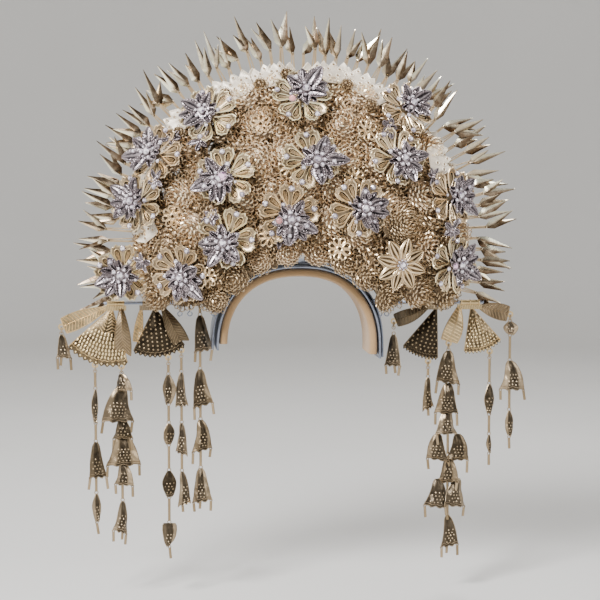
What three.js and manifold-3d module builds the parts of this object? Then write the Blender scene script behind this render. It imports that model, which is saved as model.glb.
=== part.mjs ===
// A bridal crown of the fan kind: a padded headband arch carries a wire frame, the frame carries arched
// tiers of gilt rosettes, large silver-on-gilt flowers, a crest of scalloped plates and a fringe of trembling
// spikes, and four butterfly pendants swing on two side bars with strings of small stamped plates under them.
// Millimetres. +X is the viewer's right, -Y the front, +Z up. The origin is where the crown sits on the
// head: the underside of the headband at the top of its arch, in the middle of its depth.
import * as THREE from "three";
import { mergeVertices } from "three/addons/utils/BufferGeometryUtils.js";
import Module from "manifold-3d";

const wasm = await Module();
wasm.setup();

// Driving dimensions
const GAP = 0.3; // between pieces that rest on each other
const BAND = { halfWidth: 70, rise: 70, squareness: 2.3, thickness: 9, depth: 60, bevel: 2, steps: 22 };
const BAND_FOOT = { left: -65, right: -77 };
const HOOP = { thickness: 2, depth: 66 };
const HOOP_FOOT = { left: -71, right: -81 };
const RAIL = { lift: 2.4, thickness: 1.6, depth: 44 }; // the second strip round the hoop
const POST = { count: 3, from: 30, to: 150, width: 3, lap: 0.8 }; // what holds the rail off the hoop
const FAN = { x: 4, z: 35, rim: 152, reach: 178 }; // the round face of the crown, seen from the front
const DOME = { rimY: -2, depth: 58, power: 2.6 }; // how far the face swells forward
const FRAME = { hoopY: -8, rimY: 12, wire: 1.1, spokes: 12, firstSpoke: 30, rimEnd: -20, rimSteps: 24 };
const BAR = { y: 2, rearY: 12, reach: 191, wire: 1.15, left: -27, right: -29 };
const BAR_TIE = { left: -162, right: 152 }; // between the pendants, clear of both
const STRIP = { width: 5, thickness: 1.2, clear: 0.55 };
const TIER = { first: 97, pitch: 31, count: 5, lowest: -20, clearOfRim: 27 };
const ROSETTE = { radius: 15.5, sides: 6, rise: 6, back: 2.5, pitch: 28.5, stem: 1.2 };
const FLOWER = { radius: 26, petals: 5, lift: 14, back: 2, stem: 1.3, foot: 2.4, ankle: 4, room: 21 };
const POINTED_FLOWER = { radius: 25, petals: 8 };
const STONE = { radius: 4.6, table: 2.9, height: 2.6 };
const CREST = { count: 12, from: 22, to: 158, width: 30, base: 154, top: 180, thickness: 1.2 };
const SPIKE = { count: 62, from: -17, to: 197, rows: 3, lean: 3.5, width: 9, depth: 1.3, point: 0.4 };
const SPIKE_REACH = { bend: 166, neck: 178, tip: 211, neckPerRow: 6, tipPerRow: 5, uneven: 3 };
const SPIKE_STEM = { width: 0.8, depth: 0.5 };
const RING = { radius: 2.7, wire: 0.7, segments: 10, sides: 5 };
const SHEET = 1.2; // thickness of stamped sheet

const ARCH_CENTRE = -BAND.rise;
const HOOP_INNER = BAND.thickness + GAP;
const HOOP_OUTER = HOOP_INNER + HOOP.thickness;
const RAIL_OUTER = HOOP_OUTER + RAIL.lift + RAIL.thickness;
const RIM_STRIP_Y = FRAME.rimY - FRAME.wire - STRIP.clear - GAP - STRIP.thickness / 2;
const CREST_STRIP_Y = FRAME.rimY + FRAME.wire + GAP + STRIP.thickness / 2;
const SPIKE_STRIP_Y = CREST_STRIP_Y + STRIP.thickness + 2 * GAP;

// The large flowers: place on the face seen from the front, and turn about their own axis
const LARGE_FLOWERS = [
  { x: -83, z: 152, turn: 20 },
  { x: 1, z: 168, turn: -54 },
  { x: 99, z: 158, turn: 8 },
  { x: -132, z: 116, turn: 40 },
  { x: -71, z: 97, turn: 12 },
  { x: 8, z: 112, turn: 30 },
  { x: 88, z: 114, turn: -8 },
  { x: -149, z: 72, turn: 5 },
  { x: -70, z: 41, turn: -16 },
  { x: -14, z: 63, turn: 10 },
  { x: 51, z: 68, turn: -12 },
  { x: 141, z: 76, turn: 26 },
  { x: -172, z: 5, turn: 18 },
  { x: -112, z: 8, turn: 44 },
  { x: 143, z: 13, turn: -30 },
];
const GILT_FLOWER = { x: 92, z: 15, turn: 0 };

// The butterfly pendants: the hem rolled round the side bar, the fan-shaped tail and the wings.
// Angles are in the plane of the face, in degrees from +X, and wings start at a place along the shoulder,
// behind the tail or in front of it.
const BUTTERFLIES = [
  {
    name: "left_outer", side: "left", hem: [-188, -171],
    tail: { from: -183, angle: -107, radius: 59, spread: 32 },
    wings: [
      { from: -188, angle: -158, length: 46, width: 17 },
      { from: -174, angle: -88, length: 48, width: 16, inFront: true },
    ],
  },
  {
    name: "left_inner", side: "left", hem: [-153, -131],
    tail: { from: -141, angle: -84, radius: 50, spread: 32 },
    wings: [
      { from: -154, angle: -98, length: 34, width: 8 },
      { from: -133, angle: -62, length: 41, width: 16, inFront: true },
    ],
  },
  {
    name: "right_inner", side: "right", hem: [122, 141],
    tail: { from: 143, angle: -110, radius: 54, spread: 21 },
    wings: [{ from: 134, angle: -158, length: 35, width: 14, inFront: true }],
  },
  {
    name: "right_outer", side: "right", hem: [167, 187],
    tail: { from: 178, angle: -73, radius: 48, spread: 25 },
    wings: [
      { from: 166, angle: -106, length: 36, width: 18, inFront: true },
      { from: 186, angle: -14, length: 31, width: 16 },
    ],
  },
];

// The strings: where each hangs, then its rows from the top. A strip is a plain link, the others are plates,
// a pair is two of them side by side, and turn is how far a plate has twisted about the string. A loose strip
// ends each string.
const STRINGS = [
  {
    name: "left_tip_drop", hangs: { butterfly: "left_outer", wing: 0 },
    rows: [{ shape: "bell", height: 20, width: 15, turn: 20 }],
  },
  {
    name: "left_thin_string", hangs: { butterfly: "left_outer", tail: 0.5 },
    rows: [
      { shape: "strip", height: 17 },
      { shape: "leaf", height: 35, width: 9, turn: 40 },
      { shape: "strip", height: 18 },
      { shape: "bell", height: 32, width: 18, turn: 10 },
      { shape: "strip", height: 20 },
      { shape: "leaf", height: 30, width: 10, turn: 30 },
    ],
  },
  {
    name: "left_broad_string", hangs: { butterfly: "left_outer", tail: 0.9 },
    rows: [
      { shape: "bell", height: 13, width: 21, turn: -25 },
      { shape: "bell", height: 31, width: 33, turn: 12 },
      { shape: "bell", height: 17, width: 21, turn: -20 },
      { shape: "bell", height: 27, width: 35, turn: 0 },
      { shape: "bell", height: 20, width: 20, turn: -20 },
      { shape: "strip", height: 20 },
      { shape: "bell", height: 28, width: 15, turn: 25 },
    ],
  },
  {
    name: "left_leaf_string", hangs: { butterfly: "left_inner", tail: 0.64 },
    rows: [
      { shape: "strip", height: 10 },
      { shape: "leaf", height: 31, width: 14, turn: -20 },
      { shape: "strip", height: 18 },
      { shape: "leaf", height: 23, width: 13, turn: 30 },
      { shape: "strip", height: 25 },
      { shape: "leaf", height: 28, width: 14, turn: 0 },
      { shape: "strip", height: 25 },
      { shape: "shield", height: 25, width: 14, turn: 10 },
    ],
  },
  {
    name: "left_middle_string", hangs: { butterfly: "left_inner", tail: 0.9 },
    rows: [
      { shape: "strip", height: 15 },
      { shape: "bell", height: 30, width: 13, turn: 15 },
      { shape: "strip", height: 21 },
      { shape: "bell", height: 27, width: 13, turn: -30 },
      { shape: "strip", height: 22 },
      { shape: "bell", height: 30, width: 13, turn: 10 },
    ],
  },
  {
    name: "left_inner_string", hangs: { bar: -96 },
    rows: [
      { shape: "strip", height: 8 },
      { shape: "bell", height: 32, width: 19, turn: 0 },
      { shape: "strip", height: 22 },
      { shape: "bell", height: 33, width: 21, turn: -15 },
      { shape: "strip", height: 18 },
      { shape: "bell", height: 27, width: 21, turn: 10 },
      { shape: "strip", height: 22 },
      { shape: "bell", height: 30, width: 20, turn: -8 },
    ],
  },
  {
    name: "right_tip_drop", hangs: { butterfly: "right_inner", wing: 0 },
    rows: [
      { shape: "strip", height: 6 },
      { shape: "bell", height: 28, width: 16, turn: -15 },
    ],
  },
  {
    name: "right_short_string", hangs: { butterfly: "right_inner", tail: 0.766 },
    rows: [
      { shape: "strip", height: 9 },
      { shape: "bell", height: 28, width: 13, turn: 20 },
    ],
  },
  {
    name: "right_broad_string", hangs: { butterfly: "right_outer", wing: 0 },
    rows: [
      { shape: "bell", height: 29, width: 24, turn: 0 },
      { shape: "strip", height: 4 },
      { shape: "bell", height: 27, width: 24, turn: -12 },
      { shape: "bell", height: 21, width: 24, turn: 14 },
      { shape: "strip", height: 4 },
      { shape: "pair", height: 23, width: 44, turn: -8 },
      { shape: "bell", height: 23, width: 22, turn: -25 },
      { shape: "pair", height: 25, width: 46, turn: 6 },
      { shape: "strip", height: 13 },
      { shape: "bell", height: 28, width: 18, turn: -10 },
    ],
  },
  {
    name: "right_thin_string", hangs: { butterfly: "right_outer", tail: 0.626 },
    rows: [
      { shape: "strip", height: 26 },
      { shape: "leaf", height: 32, width: 12, turn: 20 },
      { shape: "strip", height: 20 },
      { shape: "leaf", height: 20, width: 8, turn: 40 },
    ],
  },
  {
    name: "right_end_string", hangs: { butterfly: "right_outer", wing: 1 },
    rows: [
      { shape: "leaf", height: 15, width: 15, turn: -10 },
      { shape: "strip", height: 25 },
      { shape: "bell", height: 26, width: 26, turn: 0 },
      { shape: "strip", height: 25 },
      { shape: "leaf", height: 28, width: 9, turn: 15 },
    ],
  },
];

// Finishes
function finish(colour, roughness, metalness) {
  return new THREE.MeshStandardMaterial({ color: new THREE.Color(...colour), roughness, metalness });
}
const CLOTH = finish([0.62, 0.44, 0.27], 0.95, 0);
const ZINC = finish([0.36, 0.38, 0.44], 0.45, 1);
const GILT = finish([0.58, 0.42, 0.22], 0.4, 1);
const SILVER = finish([0.5, 0.49, 0.52], 0.35, 1);
const PALE_GILT = finish([0.75, 0.64, 0.46], 0.35, 1);
const OLD_GILT = finish([0.42, 0.35, 0.24], 0.45, 1);

// Solids: a closed geometry becomes a body that can be joined, and a body becomes a geometry again
function solid(geometry) {
  const bare = geometry.clone();
  bare.deleteAttribute("normal");
  bare.deleteAttribute("uv");
  const welded = mergeVertices(bare, 1e-4);
  return new wasm.Manifold(
    new wasm.Mesh({
      numProp: 3,
      vertProperties: welded.attributes.position.array,
      triVerts: new Uint32Array(welded.index.array),
    }),
  );
}

function joined(geometries) {
  return geometries.map(solid).reduce((whole, piece) => whole.add(piece));
}

function meshOf(name, body, material) {
  const { numProp, vertProperties, triVerts } = body.getMesh();
  const positions = new Float32Array((vertProperties.length / numProp) * 3);
  for (let i = 0; i < positions.length / 3; i++) {
    positions.set(vertProperties.subarray(i * numProp, i * numProp + 3), i * 3);
  }
  const geometry = new THREE.BufferGeometry();
  geometry.setAttribute("position", new THREE.BufferAttribute(positions, 3));
  geometry.setIndex(new THREE.BufferAttribute(triVerts, 1));
  geometry.computeVertexNormals();
  const mesh = new THREE.Mesh(geometry, material);
  mesh.name = name;
  return mesh;
}

// A closed body through rings of equal count, right-handed about the way they run.
// A ring of one point is a tip.
function loft(rings) {
  const points = rings.flat();
  const starts = rings.map((_, i) => rings.slice(0, i).reduce((n, r) => n + r.length, 0));
  const count = Math.max(...rings.map((r) => r.length));
  const at = (ring, i) => starts[ring] + (rings[ring].length === 1 ? 0 : i % count);
  const faces = [];
  for (let r = 0; r + 1 < rings.length; r++) {
    for (let i = 0; i < count; i++) {
      if (rings[r].length > 1) faces.push(at(r, i), at(r, i + 1), at(r + 1, i + 1));
      if (rings[r + 1].length > 1) faces.push(at(r, i), at(r + 1, i + 1), at(r + 1, i));
    }
  }
  const last = rings.length - 1;
  for (let i = 1; i + 1 < count; i++) {
    if (rings[0].length > 1) faces.push(at(0, 0), at(0, i + 1), at(0, i));
    if (rings[last].length > 1) faces.push(at(last, 0), at(last, i), at(last, i + 1));
  }
  const geometry = new THREE.BufferGeometry().setFromPoints(points);
  geometry.setIndex(faces);
  return geometry;
}

// A wire of round section through points, with its rings square to the way it runs
function wire(points, radii, sides = 5) {
  const rings = points.map((point, i) => {
    const [before, after] = [points[Math.max(i - 1, 0)], points[Math.min(i + 1, points.length - 1)]];
    const along = after.clone().sub(before).normalize();
    const reference = Math.abs(along.y) > 0.8 ? vector(0, 0, 1) : vector(0, 1, 0);
    const side = reference.clone().cross(along).normalize();
    const up = along.clone().cross(side);
    const radius = Array.isArray(radii) ? radii[i] : radii;
    return circle(sides).map(({ x, y }) =>
      point.clone().addScaledVector(side, radius * x).addScaledVector(up, radius * y));
  });
  return loft(rings);
}

function circle(count, phase = 0) {
  return Array.from({ length: count }, (_, i) => {
    const angle = phase + (2 * Math.PI * i) / count;
    return new THREE.Vector2(Math.cos(angle), Math.sin(angle));
  });
}

// A curved sheet of even thickness over place(u, v), u and v from 0 to 1
function sheet(place, columns, rows, thickness = SHEET) {
  const step = 1e-3;
  const corner = (u, v, side) => {
    const across = place(u + step, v).sub(place(u - step, v));
    const down = place(u, v + step).sub(place(u, v - step));
    return place(u, v).addScaledVector(across.cross(down).normalize(), (side * thickness) / 2);
  };
  const rings = Array.from({ length: rows + 1 }, (_, j) => {
    const us = Array.from({ length: columns + 1 }, (_, i) => i / columns);
    const front = us.map((u) => corner(u, j / rows, 1));
    const back = us.map((u) => corner(u, j / rows, -1)).reverse();
    return [...front, ...back];
  });
  return stack(rings, columns + 1);
}

// A loft whose end rings are thin strips of two facing rows, so their caps are ladders and not fans
function stack(rings, half) {
  const count = half * 2;
  const faces = [];
  for (let r = 0; r + 1 < rings.length; r++) {
    for (let i = 0; i < count; i++) {
      const [a, b] = [r * count + i, r * count + ((i + 1) % count)];
      faces.push(a, b, b + count, a, b + count, a + count);
    }
  }
  const last = (rings.length - 1) * count;
  for (let i = 0; i + 1 < half; i++) {
    const [a, b, c, d] = [i, i + 1, count - 2 - i, count - 1 - i];
    faces.push(a, c, b, a, d, c, last + a, last + b, last + c, last + a, last + c, last + d);
  }
  const geometry = new THREE.BufferGeometry().setFromPoints(rings.flat());
  geometry.setIndex(faces);
  return geometry;
}

// A flat plate: a shape in the plane of the face, with y = 0 in the middle of its thickness
function plate(shape, thickness) {
  const geometry = new THREE.ExtrudeGeometry(shape, { depth: thickness, bevelEnabled: false });
  return geometry.rotateX(Math.PI / 2).translate(0, thickness / 2, 0);
}

function box(width, depth, height, centre) {
  return new THREE.BoxGeometry(width, depth, height).translate(centre.x, centre.y, centre.z);
}

// A jump ring whose hole runs along X
function ring(centre) {
  return new THREE.TorusGeometry(RING.radius, RING.wire, RING.sides, RING.segments)
    .rotateY(Math.PI / 2)
    .translate(centre.x, centre.y, centre.z);
}

const within = THREE.MathUtils.clamp;
const radians = THREE.MathUtils.degToRad;
const blend = THREE.MathUtils.lerp;
const vector = (x, y, z) => new THREE.Vector3(x, y, z);

// The headband's arch is a rounded-square curve: a point of it at a turn from the right foot
function archPoint(offset, turn) {
  const power = 2 / BAND.squareness;
  const [c, s] = [Math.cos(turn), Math.max(0, Math.sin(turn))];
  const x = (BAND.halfWidth + offset) * Math.sign(c) * Math.abs(c) ** power;
  return new THREE.Vector2(x, ARCH_CENTRE + (BAND.rise + offset) * s ** power);
}

// The turn at which the arch reaches a height
function archTurn(offset, z) {
  const share = Math.max(0, z - ARCH_CENTRE) / (BAND.rise + offset);
  return Math.asin(share ** (BAND.squareness / 2));
}

// One side of an arched strip, from the right foot to the left one
function archLine(offset, foot) {
  const [first, last] = [archTurn(offset, foot.right), Math.PI - archTurn(offset, foot.left)];
  const line = Array.from({ length: BAND.steps + 1 }, (_, i) =>
    archPoint(offset, blend(first, last, i / BAND.steps)));
  if (foot.right < ARCH_CENTRE) line.unshift(new THREE.Vector2(line[0].x, foot.right));
  if (foot.left < ARCH_CENTRE) line.push(new THREE.Vector2(line.at(-1).x, foot.left));
  return line;
}

function archStrip(inner, outer, foot, depth, bevel = 0) {
  const outline = new THREE.Shape([...archLine(outer, foot), ...archLine(inner, foot).reverse()]);
  const geometry = new THREE.ExtrudeGeometry(outline, {
    depth: depth - 2 * bevel,
    bevelEnabled: bevel > 0,
    bevelThickness: bevel,
    bevelSize: bevel,
    bevelOffset: -bevel,
    bevelSegments: 1,
  });
  return geometry.rotateX(Math.PI / 2).translate(0, depth / 2 - bevel, 0);
}

// Places on the crown's face: polar places about the headband's arch and about the fan
const around = (x, z, radius, turn) => ({ x: x + radius * Math.cos(turn), z: z + radius * Math.sin(turn) });
const fromArch = (radius, turn) => around(0, ARCH_CENTRE, radius, turn);
const onFan = (radius, turn) => around(FAN.x, FAN.z, radius, turn);
const apart = (a, b) => Math.hypot(a.x - b.x, a.z - b.z);

// How far from the arch's centre a ray reaches a circle about the fan's centre
function reachToFan(turn, fanRadius) {
  const rise = FAN.z - ARCH_CENTRE;
  const along = FAN.x * Math.cos(turn) + rise * Math.sin(turn);
  return along + Math.sqrt(along ** 2 - FAN.x ** 2 - rise ** 2 + fanRadius ** 2);
}

// The flowers stand on a dome, and the frame behind them is a shallow cone of straight spokes
function domeY({ x, z }) {
  const share = Math.min(1, apart({ x, z }, FAN) / FAN.reach);
  return DOME.rimY - DOME.depth * (1 - share ** DOME.power);
}

function domeNormal({ x, z }) {
  const step = 0.5;
  const slopeX = (domeY({ x: x + step, z }) - domeY({ x: x - step, z })) / (2 * step);
  const slopeZ = (domeY({ x, z: z + step }) - domeY({ x, z: z - step })) / (2 * step);
  return vector(slopeX, -1, slopeZ).normalize();
}

function frameY({ x, z }) {
  const turn = Math.atan2(z - ARCH_CENTRE, x);
  const start = spokeRoot(turn).length();
  const reach = apart({ x, z }, { x: 0, z: ARCH_CENTRE });
  return blend(FRAME.hoopY, FRAME.rimY, (reach - start) / (reachToFan(turn, FAN.rim) - start));
}

// Where a spoke leaves the rail, measured from the arch's centre
function spokeRoot(turn) {
  const tangent = Math.abs(Math.tan(turn)) ** (BAND.squareness / 2);
  const archTurnThere = turn <= Math.PI / 2 ? Math.atan(tangent) : Math.PI - Math.atan(tangent);
  const { x, y } = archPoint(RAIL_OUTER - RAIL.thickness / 2, archTurnThere);
  return new THREE.Vector2(x, y - ARCH_CENTRE);
}

// Places about a point of the dome, with the third number along the way the dome faces
function facing(place, lift = 0) {
  const normal = domeNormal(place);
  const upright = new THREE.Quaternion().setFromUnitVectors(vector(0, 0, 1), normal);
  const middle = vector(place.x, domeY(place), place.z).addScaledVector(normal, lift);
  return (x, y, z) => vector(x, y, z).applyQuaternion(upright).add(middle);
}

// The headband and the wire frame on it
function headband() {
  return joined([archStrip(0, BAND.thickness, BAND_FOOT, BAND.depth, BAND.bevel)]);
}

function spokeTurns() {
  const last = FRAME.spokes - 1;
  return Array.from({ length: FRAME.spokes }, (_, i) =>
    radians(blend(FRAME.firstSpoke, 180 - FRAME.firstSpoke, i / last)));
}

function spoke(turn) {
  const root = spokeRoot(turn);
  const tip = fromArch(reachToFan(turn, FAN.rim), turn);
  const start = vector(root.x, FRAME.hoopY, ARCH_CENTRE + root.y);
  return wire([start, vector(tip.x, FRAME.rimY, tip.z)], FRAME.wire);
}

function rimPlace(turn, y) {
  const { x, z } = onFan(FAN.rim, turn);
  return vector(x, y, z);
}

function rimTurns() {
  return Array.from({ length: FRAME.rimSteps + 1 }, (_, i) =>
    radians(blend(FRAME.rimEnd, 180 - FRAME.rimEnd, i / FRAME.rimSteps)));
}

function sideBar(side, y) {
  const sign = side === "left" ? -1 : 1;
  const z = BAR[side];
  const railOffset = RAIL_OUTER - RAIL.thickness / 2;
  const root = archPoint(railOffset, archTurn(railOffset, z)).x;
  return wire([vector(sign * root, y, z), vector(sign * BAR.reach, y, z)], BAR.wire, 6);
}

// The short wire across a pair of side bars
function barTie(side) {
  const [x, z] = [BAR_TIE[side], BAR[side]];
  return wire([vector(x, BAR.y, z), vector(x, BAR.rearY, z)], FRAME.wire);
}

function railPost(index) {
  const turn = radians(blend(POST.from, POST.to, index / (POST.count - 1)));
  const middle = archPoint(HOOP_OUTER + RAIL.lift / 2, turn);
  const outward = Math.atan2(middle.y - ARCH_CENTRE, middle.x);
  return new THREE.BoxGeometry(RAIL.lift + 2 * POST.lap, POST.width, POST.width)
    .rotateY(-outward)
    .translate(middle.x, 0, middle.y);
}

function frame() {
  const rim = rimTurns().map((turn) => rimPlace(turn, FRAME.rimY));
  rim.unshift(rim[0].clone().setZ(BAR.right));
  rim.push(rim.at(-1).clone().setZ(BAR.left));
  const sides = ["left", "right"];
  return joined([
    archStrip(HOOP_INNER, HOOP_OUTER, HOOP_FOOT, HOOP.depth),
    archStrip(HOOP_OUTER + RAIL.lift, RAIL_OUTER, HOOP_FOOT, RAIL.depth),
    ...Array.from({ length: POST.count }, (_, i) => railPost(i)),
    ...spokeTurns().map(spoke),
    wire(rim, FRAME.wire),
    ...sides.flatMap((side) => [sideBar(side, BAR.y), sideBar(side, BAR.rearY), barTie(side)]),
  ]);
}

// How far forward the strips of the tiers lie, just clear of the spokes
const stripY = (place) => frameY(place) - FRAME.wire - STRIP.clear - STRIP.thickness / 2;

// A tier: an arched strip in front of the spokes with a rosette on a stem at each place
function tierStrip(places, y) {
  const rings = places.map(({ inner, outer }) => {
    const [low, high] = [inner, outer].map((p) => vector(p.x, y(p), p.z));
    const half = STRIP.thickness / 2;
    return [
      low.clone().setY(low.y - half), high.clone().setY(high.y - half),
      high.clone().setY(high.y + half), low.clone().setY(low.y + half),
    ];
  });
  return loft(rings);
}

// A rosette: a round domed head on a stem that starts inside the strip
function rosette(place, rootY) {
  const { radius, sides, rise, back, stem } = ROSETTE;
  const local = facing(place);
  const round = circle(sides, place.x);
  return loft([
    round.map(({ x, y }) => vector(place.x + stem * x, rootY, place.z + stem * y)),
    round.map(({ x, y }) => vector(stem * x, 0, stem * y).add(local(0, 0, -back))),
    round.map(({ x, y }) => local(radius * x, radius * y, 0)),
    [local(0, 0, rise)],
  ]);
}

// Rosettes leave room for the large flowers and for the feet of their stems
function free(place) {
  return [...LARGE_FLOWERS, GILT_FLOWER]
    .flatMap((flower) => [flower, flowerFoot(flower)])
    .every((taken) => apart(taken, place) > FLOWER.room);
}

function tierStart(radius) {
  const lowest = Math.asin((TIER.lowest - ARCH_CENTRE) / radius);
  return Math.max(lowest, turnInsideFan(radius, FAN.rim - TIER.clearOfRim));
}

function archTier(index) {
  const radius = TIER.first + TIER.pitch * index;
  const start = tierStart(radius);
  const count = Math.round((radius * (Math.PI - 2 * start)) / ROSETTE.pitch);
  const turns = Array.from({ length: count + 1 }, (_, i) => blend(start, Math.PI - start, i / count));
  return {
    places: turns.map((turn) => fromArch(radius, turn)).filter(free),
    strip: turns.map((turn) => ({
      inner: fromArch(radius - STRIP.width / 2, turn),
      outer: fromArch(radius + STRIP.width / 2, turn),
    })),
    y: stripY,
  };
}

// The least turn at which a circle about the arch lies inside a circle about the fan
function turnInsideFan(radius, fanRadius) {
  const rise = FAN.z - ARCH_CENTRE;
  const cosine = (radius ** 2 + rise ** 2 - fanRadius ** 2) / (2 * radius * rise);
  return Math.PI / 2 - Math.acos(Math.min(1, cosine));
}

function rimTier() {
  const count = Math.round((FAN.rim * radians(180 - 2 * FRAME.rimEnd)) / ROSETTE.pitch);
  const places = Array.from({ length: count + 1 }, (_, i) =>
    onFan(FAN.rim, radians(blend(FRAME.rimEnd, 180 - FRAME.rimEnd, i / count))));
  return { places: places.filter(free), strip: rimStrip(), y: () => RIM_STRIP_Y };
}

function rimStrip() {
  return rimTurns().map((turn) => ({
    inner: onFan(FAN.rim - STRIP.width / 2, turn),
    outer: onFan(FAN.rim + STRIP.width / 2, turn),
  }));
}

function tierBody({ places, strip, y }) {
  return joined([tierStrip(strip, y), ...places.map((place) => rosette(place, y(place)))]);
}

const TIERS = [...Array.from({ length: TIER.count }, (_, i) => archTier(i)), rimTier()];

// Large flowers: heart petals in gilt, a silver star over them and a cut stone in the middle, all soldered
// up. The foot of a flower's stem stands on the nearest place of the nearest tier.
function flowerFoot(flower) {
  const turn = Math.atan2(flower.z - ARCH_CENTRE, flower.x);
  const seats = Array.from({ length: TIER.count }, (_, i) => {
    const radius = TIER.first + TIER.pitch * i;
    const start = tierStart(radius);
    return { ...fromArch(radius, within(turn, start, Math.PI - start)), onRim: false };
  });
  const fanTurn = Math.atan2(flower.z - FAN.z, flower.x - FAN.x);
  const wholeTurn = fanTurn < -Math.PI / 2 ? fanTurn + 2 * Math.PI : fanTurn;
  const rimTurn = within(wholeTurn, radians(FRAME.rimEnd), radians(180 - FRAME.rimEnd));
  seats.push({ ...onFan(FAN.rim, rimTurn), onRim: true });
  return seats.reduce((best, seat) => (apart(seat, flower) < apart(best, flower) ? seat : best));
}

// A flower built in rings from its back to the table of its stone. Each ring alternates between two radii.
function flowerHead(flower, petals, levels) {
  const local = facing(flower, FLOWER.lift);
  const round = circle(petals * 2, radians(flower.turn));
  const rings = levels.map(({ even, odd, evenLift, oddLift }) => round.map(({ x, y }, i) => {
    const [radius, lift] = i % 2 ? [odd, oddLift] : [even, evenLift];
    return local(radius * x, radius * y, lift);
  }));
  return loft([[local(0, 0, -FLOWER.back)], ...rings]);
}

// The rings of a flower: the two radii and how far forward each stands
const level = (even, odd, evenLift, oddLift = evenLift) => ({ even, odd, evenLift, oddLift });
const stone = (height) => [
  level(STONE.radius, STONE.radius, height),
  level(STONE.table, STONE.table, height + STONE.height),
];
const HEARTS = level(FLOWER.radius, 14, 2.5, 0.5);
const WAIST = level(5, 5, 2.5);
const STAR = level(8, 18, 6.5, 9);
const POINTS = level(POINTED_FLOWER.radius, 15, -1, 0.5);

function flowerStem(flower) {
  const seat = flowerFoot(flower);
  const front = (seat.onRim ? RIM_STRIP_Y : stripY(seat)) - STRIP.thickness / 2 - 2 * GAP;
  const foot = vector(seat.x, front, seat.z);
  const ankle = vector(seat.x, front - FLOWER.ankle, seat.z);
  const head = facing(flower, FLOWER.lift)(0, 0, 0);
  return wire([head, ankle, foot], [FLOWER.stem, FLOWER.stem, FLOWER.foot], 4);
}

function largeFlower(flower) {
  return joined([flowerHead(flower, FLOWER.petals, [HEARTS, WAIST, STAR, ...stone(9)]), flowerStem(flower)]);
}

function giltFlower(flower) {
  return joined([flowerHead(flower, POINTED_FLOWER.petals, [POINTS, ...stone(4)]), flowerStem(flower)]);
}

// The crest of scalloped plates and the fringe of spikes, each on a strip of its own behind the rim
function crestPlate(turn) {
  const half = CREST.width / 2;
  const scallops = [
    { across: -0.55, up: 0 }, { across: 0.55, up: 0 }, { across: 1, up: 0.55 }, { across: 0.86, up: 0.8 },
    { across: 0.55, up: 0.82 }, { across: 0.34, up: 1 }, { across: 0, up: 0.9 }, { across: -0.34, up: 1 },
    { across: -0.55, up: 0.82 }, { across: -0.86, up: 0.8 }, { across: -1, up: 0.55 },
  ];
  const outline = scallops.map(({ across, up }) =>
    new THREE.Vector2(across * half, blend(CREST.base - STRIP.width / 2, CREST.top, up)));
  return plate(new THREE.Shape(outline), CREST.thickness)
    .rotateY(Math.PI / 2 - turn)
    .translate(FAN.x, CREST_STRIP_Y, FAN.z);
}

function crest() {
  const plates = Array.from({ length: CREST.count }, (_, i) =>
    crestPlate(radians(blend(CREST.from, CREST.to, i / (CREST.count - 1)))));
  return joined([tierStrip(rimStrip(), () => CREST_STRIP_Y), ...plates]);
}

// A spike: a thin stem, then a leaf folded along its middle that narrows to a point. Rows lean back in turn.
function spike(index) {
  const turn = radians(blend(SPIKE.from, SPIKE.to, index / (SPIKE.count - 1)));
  const row = index % SPIKE.rows;
  const { bend, neckPerRow, tipPerRow, uneven } = SPIKE_REACH;
  const tip = SPIKE_REACH.tip - tipPerRow * row + uneven * ((index * 7) % 3);
  const neck = SPIKE_REACH.neck - neckPerRow * row;
  const out = vector(Math.cos(turn), 0, Math.sin(turn));
  const across = vector(-Math.sin(turn), 0, Math.cos(turn));
  const section = (radius, width, depth) => {
    const lean = ((0.5 + row) * SPIKE.lean * Math.max(0, radius - bend)) / (SPIKE_REACH.tip - bend);
    const middle = vector(FAN.x, SPIKE_STRIP_Y + lean, FAN.z).addScaledVector(out, radius);
    return [
      middle.clone().setY(middle.y + depth), middle.clone().addScaledVector(across, width),
      middle.clone().setY(middle.y - depth), middle.clone().addScaledVector(across, -width),
    ];
  };
  return loft([
    section(FAN.rim + 0.5, SPIKE_STEM.width, SPIKE_STEM.depth),
    section(neck, SPIKE_STEM.width, SPIKE_STEM.depth),
    section(blend(neck, tip, 0.3), SPIKE.width / 2, SPIKE.depth),
    section(tip, SPIKE.point, SPIKE.point),
  ]);
}

function spikeFringe() {
  const spikes = Array.from({ length: SPIKE.count }, (_, i) => spike(i));
  return joined([tierStrip(rimStrip(), () => SPIKE_STRIP_Y), ...spikes]);
}

// Butterfly pendants of stamped sheet, each hung by a hem rolled round a side bar
const HEM = { inner: 1.65, outer: 2.6, sides: 10 };
const SHOULDER = { drop: 2, height: 5, thickness: 1.6, margin: 2 };
const TAB = { radius: 3.3, hole: 1.6, thickness: 1, sides: 8, lap: 0.8 };
const shoulderMiddle = (side) => BAR[side] - SHOULDER.drop - SHOULDER.height / 2;
const TAIL_SHEET = { columns: 10, bulge: 5, scallop: 2.5, root: 2 };
const WING_SHEET = { columns: 2, rows: 3, fold: 1.5, back: 2.2, forward: 5.2 };

// The scalloped lower edge of a tail: full radius at every other column, and drawn in between
function tailRadius(tail, share) {
  const step = (share * TAIL_SHEET.columns) % 2;
  return tail.radius - TAIL_SHEET.scallop * (step <= 1 ? step : 2 - step);
}

function tailPlace({ tail, side }, share, radius, y) {
  const turn = radians(tail.angle + tail.spread * (2 * share - 1));
  const { x, z } = around(tail.from, shoulderMiddle(side), radius, turn);
  return vector(x, y, z);
}

// The tabs that strings hang in stand out from the edge of a tail or the tip of a wing
const EYE_REACH = TAB.radius - TAB.lap;

function tailEye(butterfly, share) {
  return tailPlace(butterfly, share, tailRadius(butterfly.tail, share) + EYE_REACH, BAR.y);
}

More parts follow.
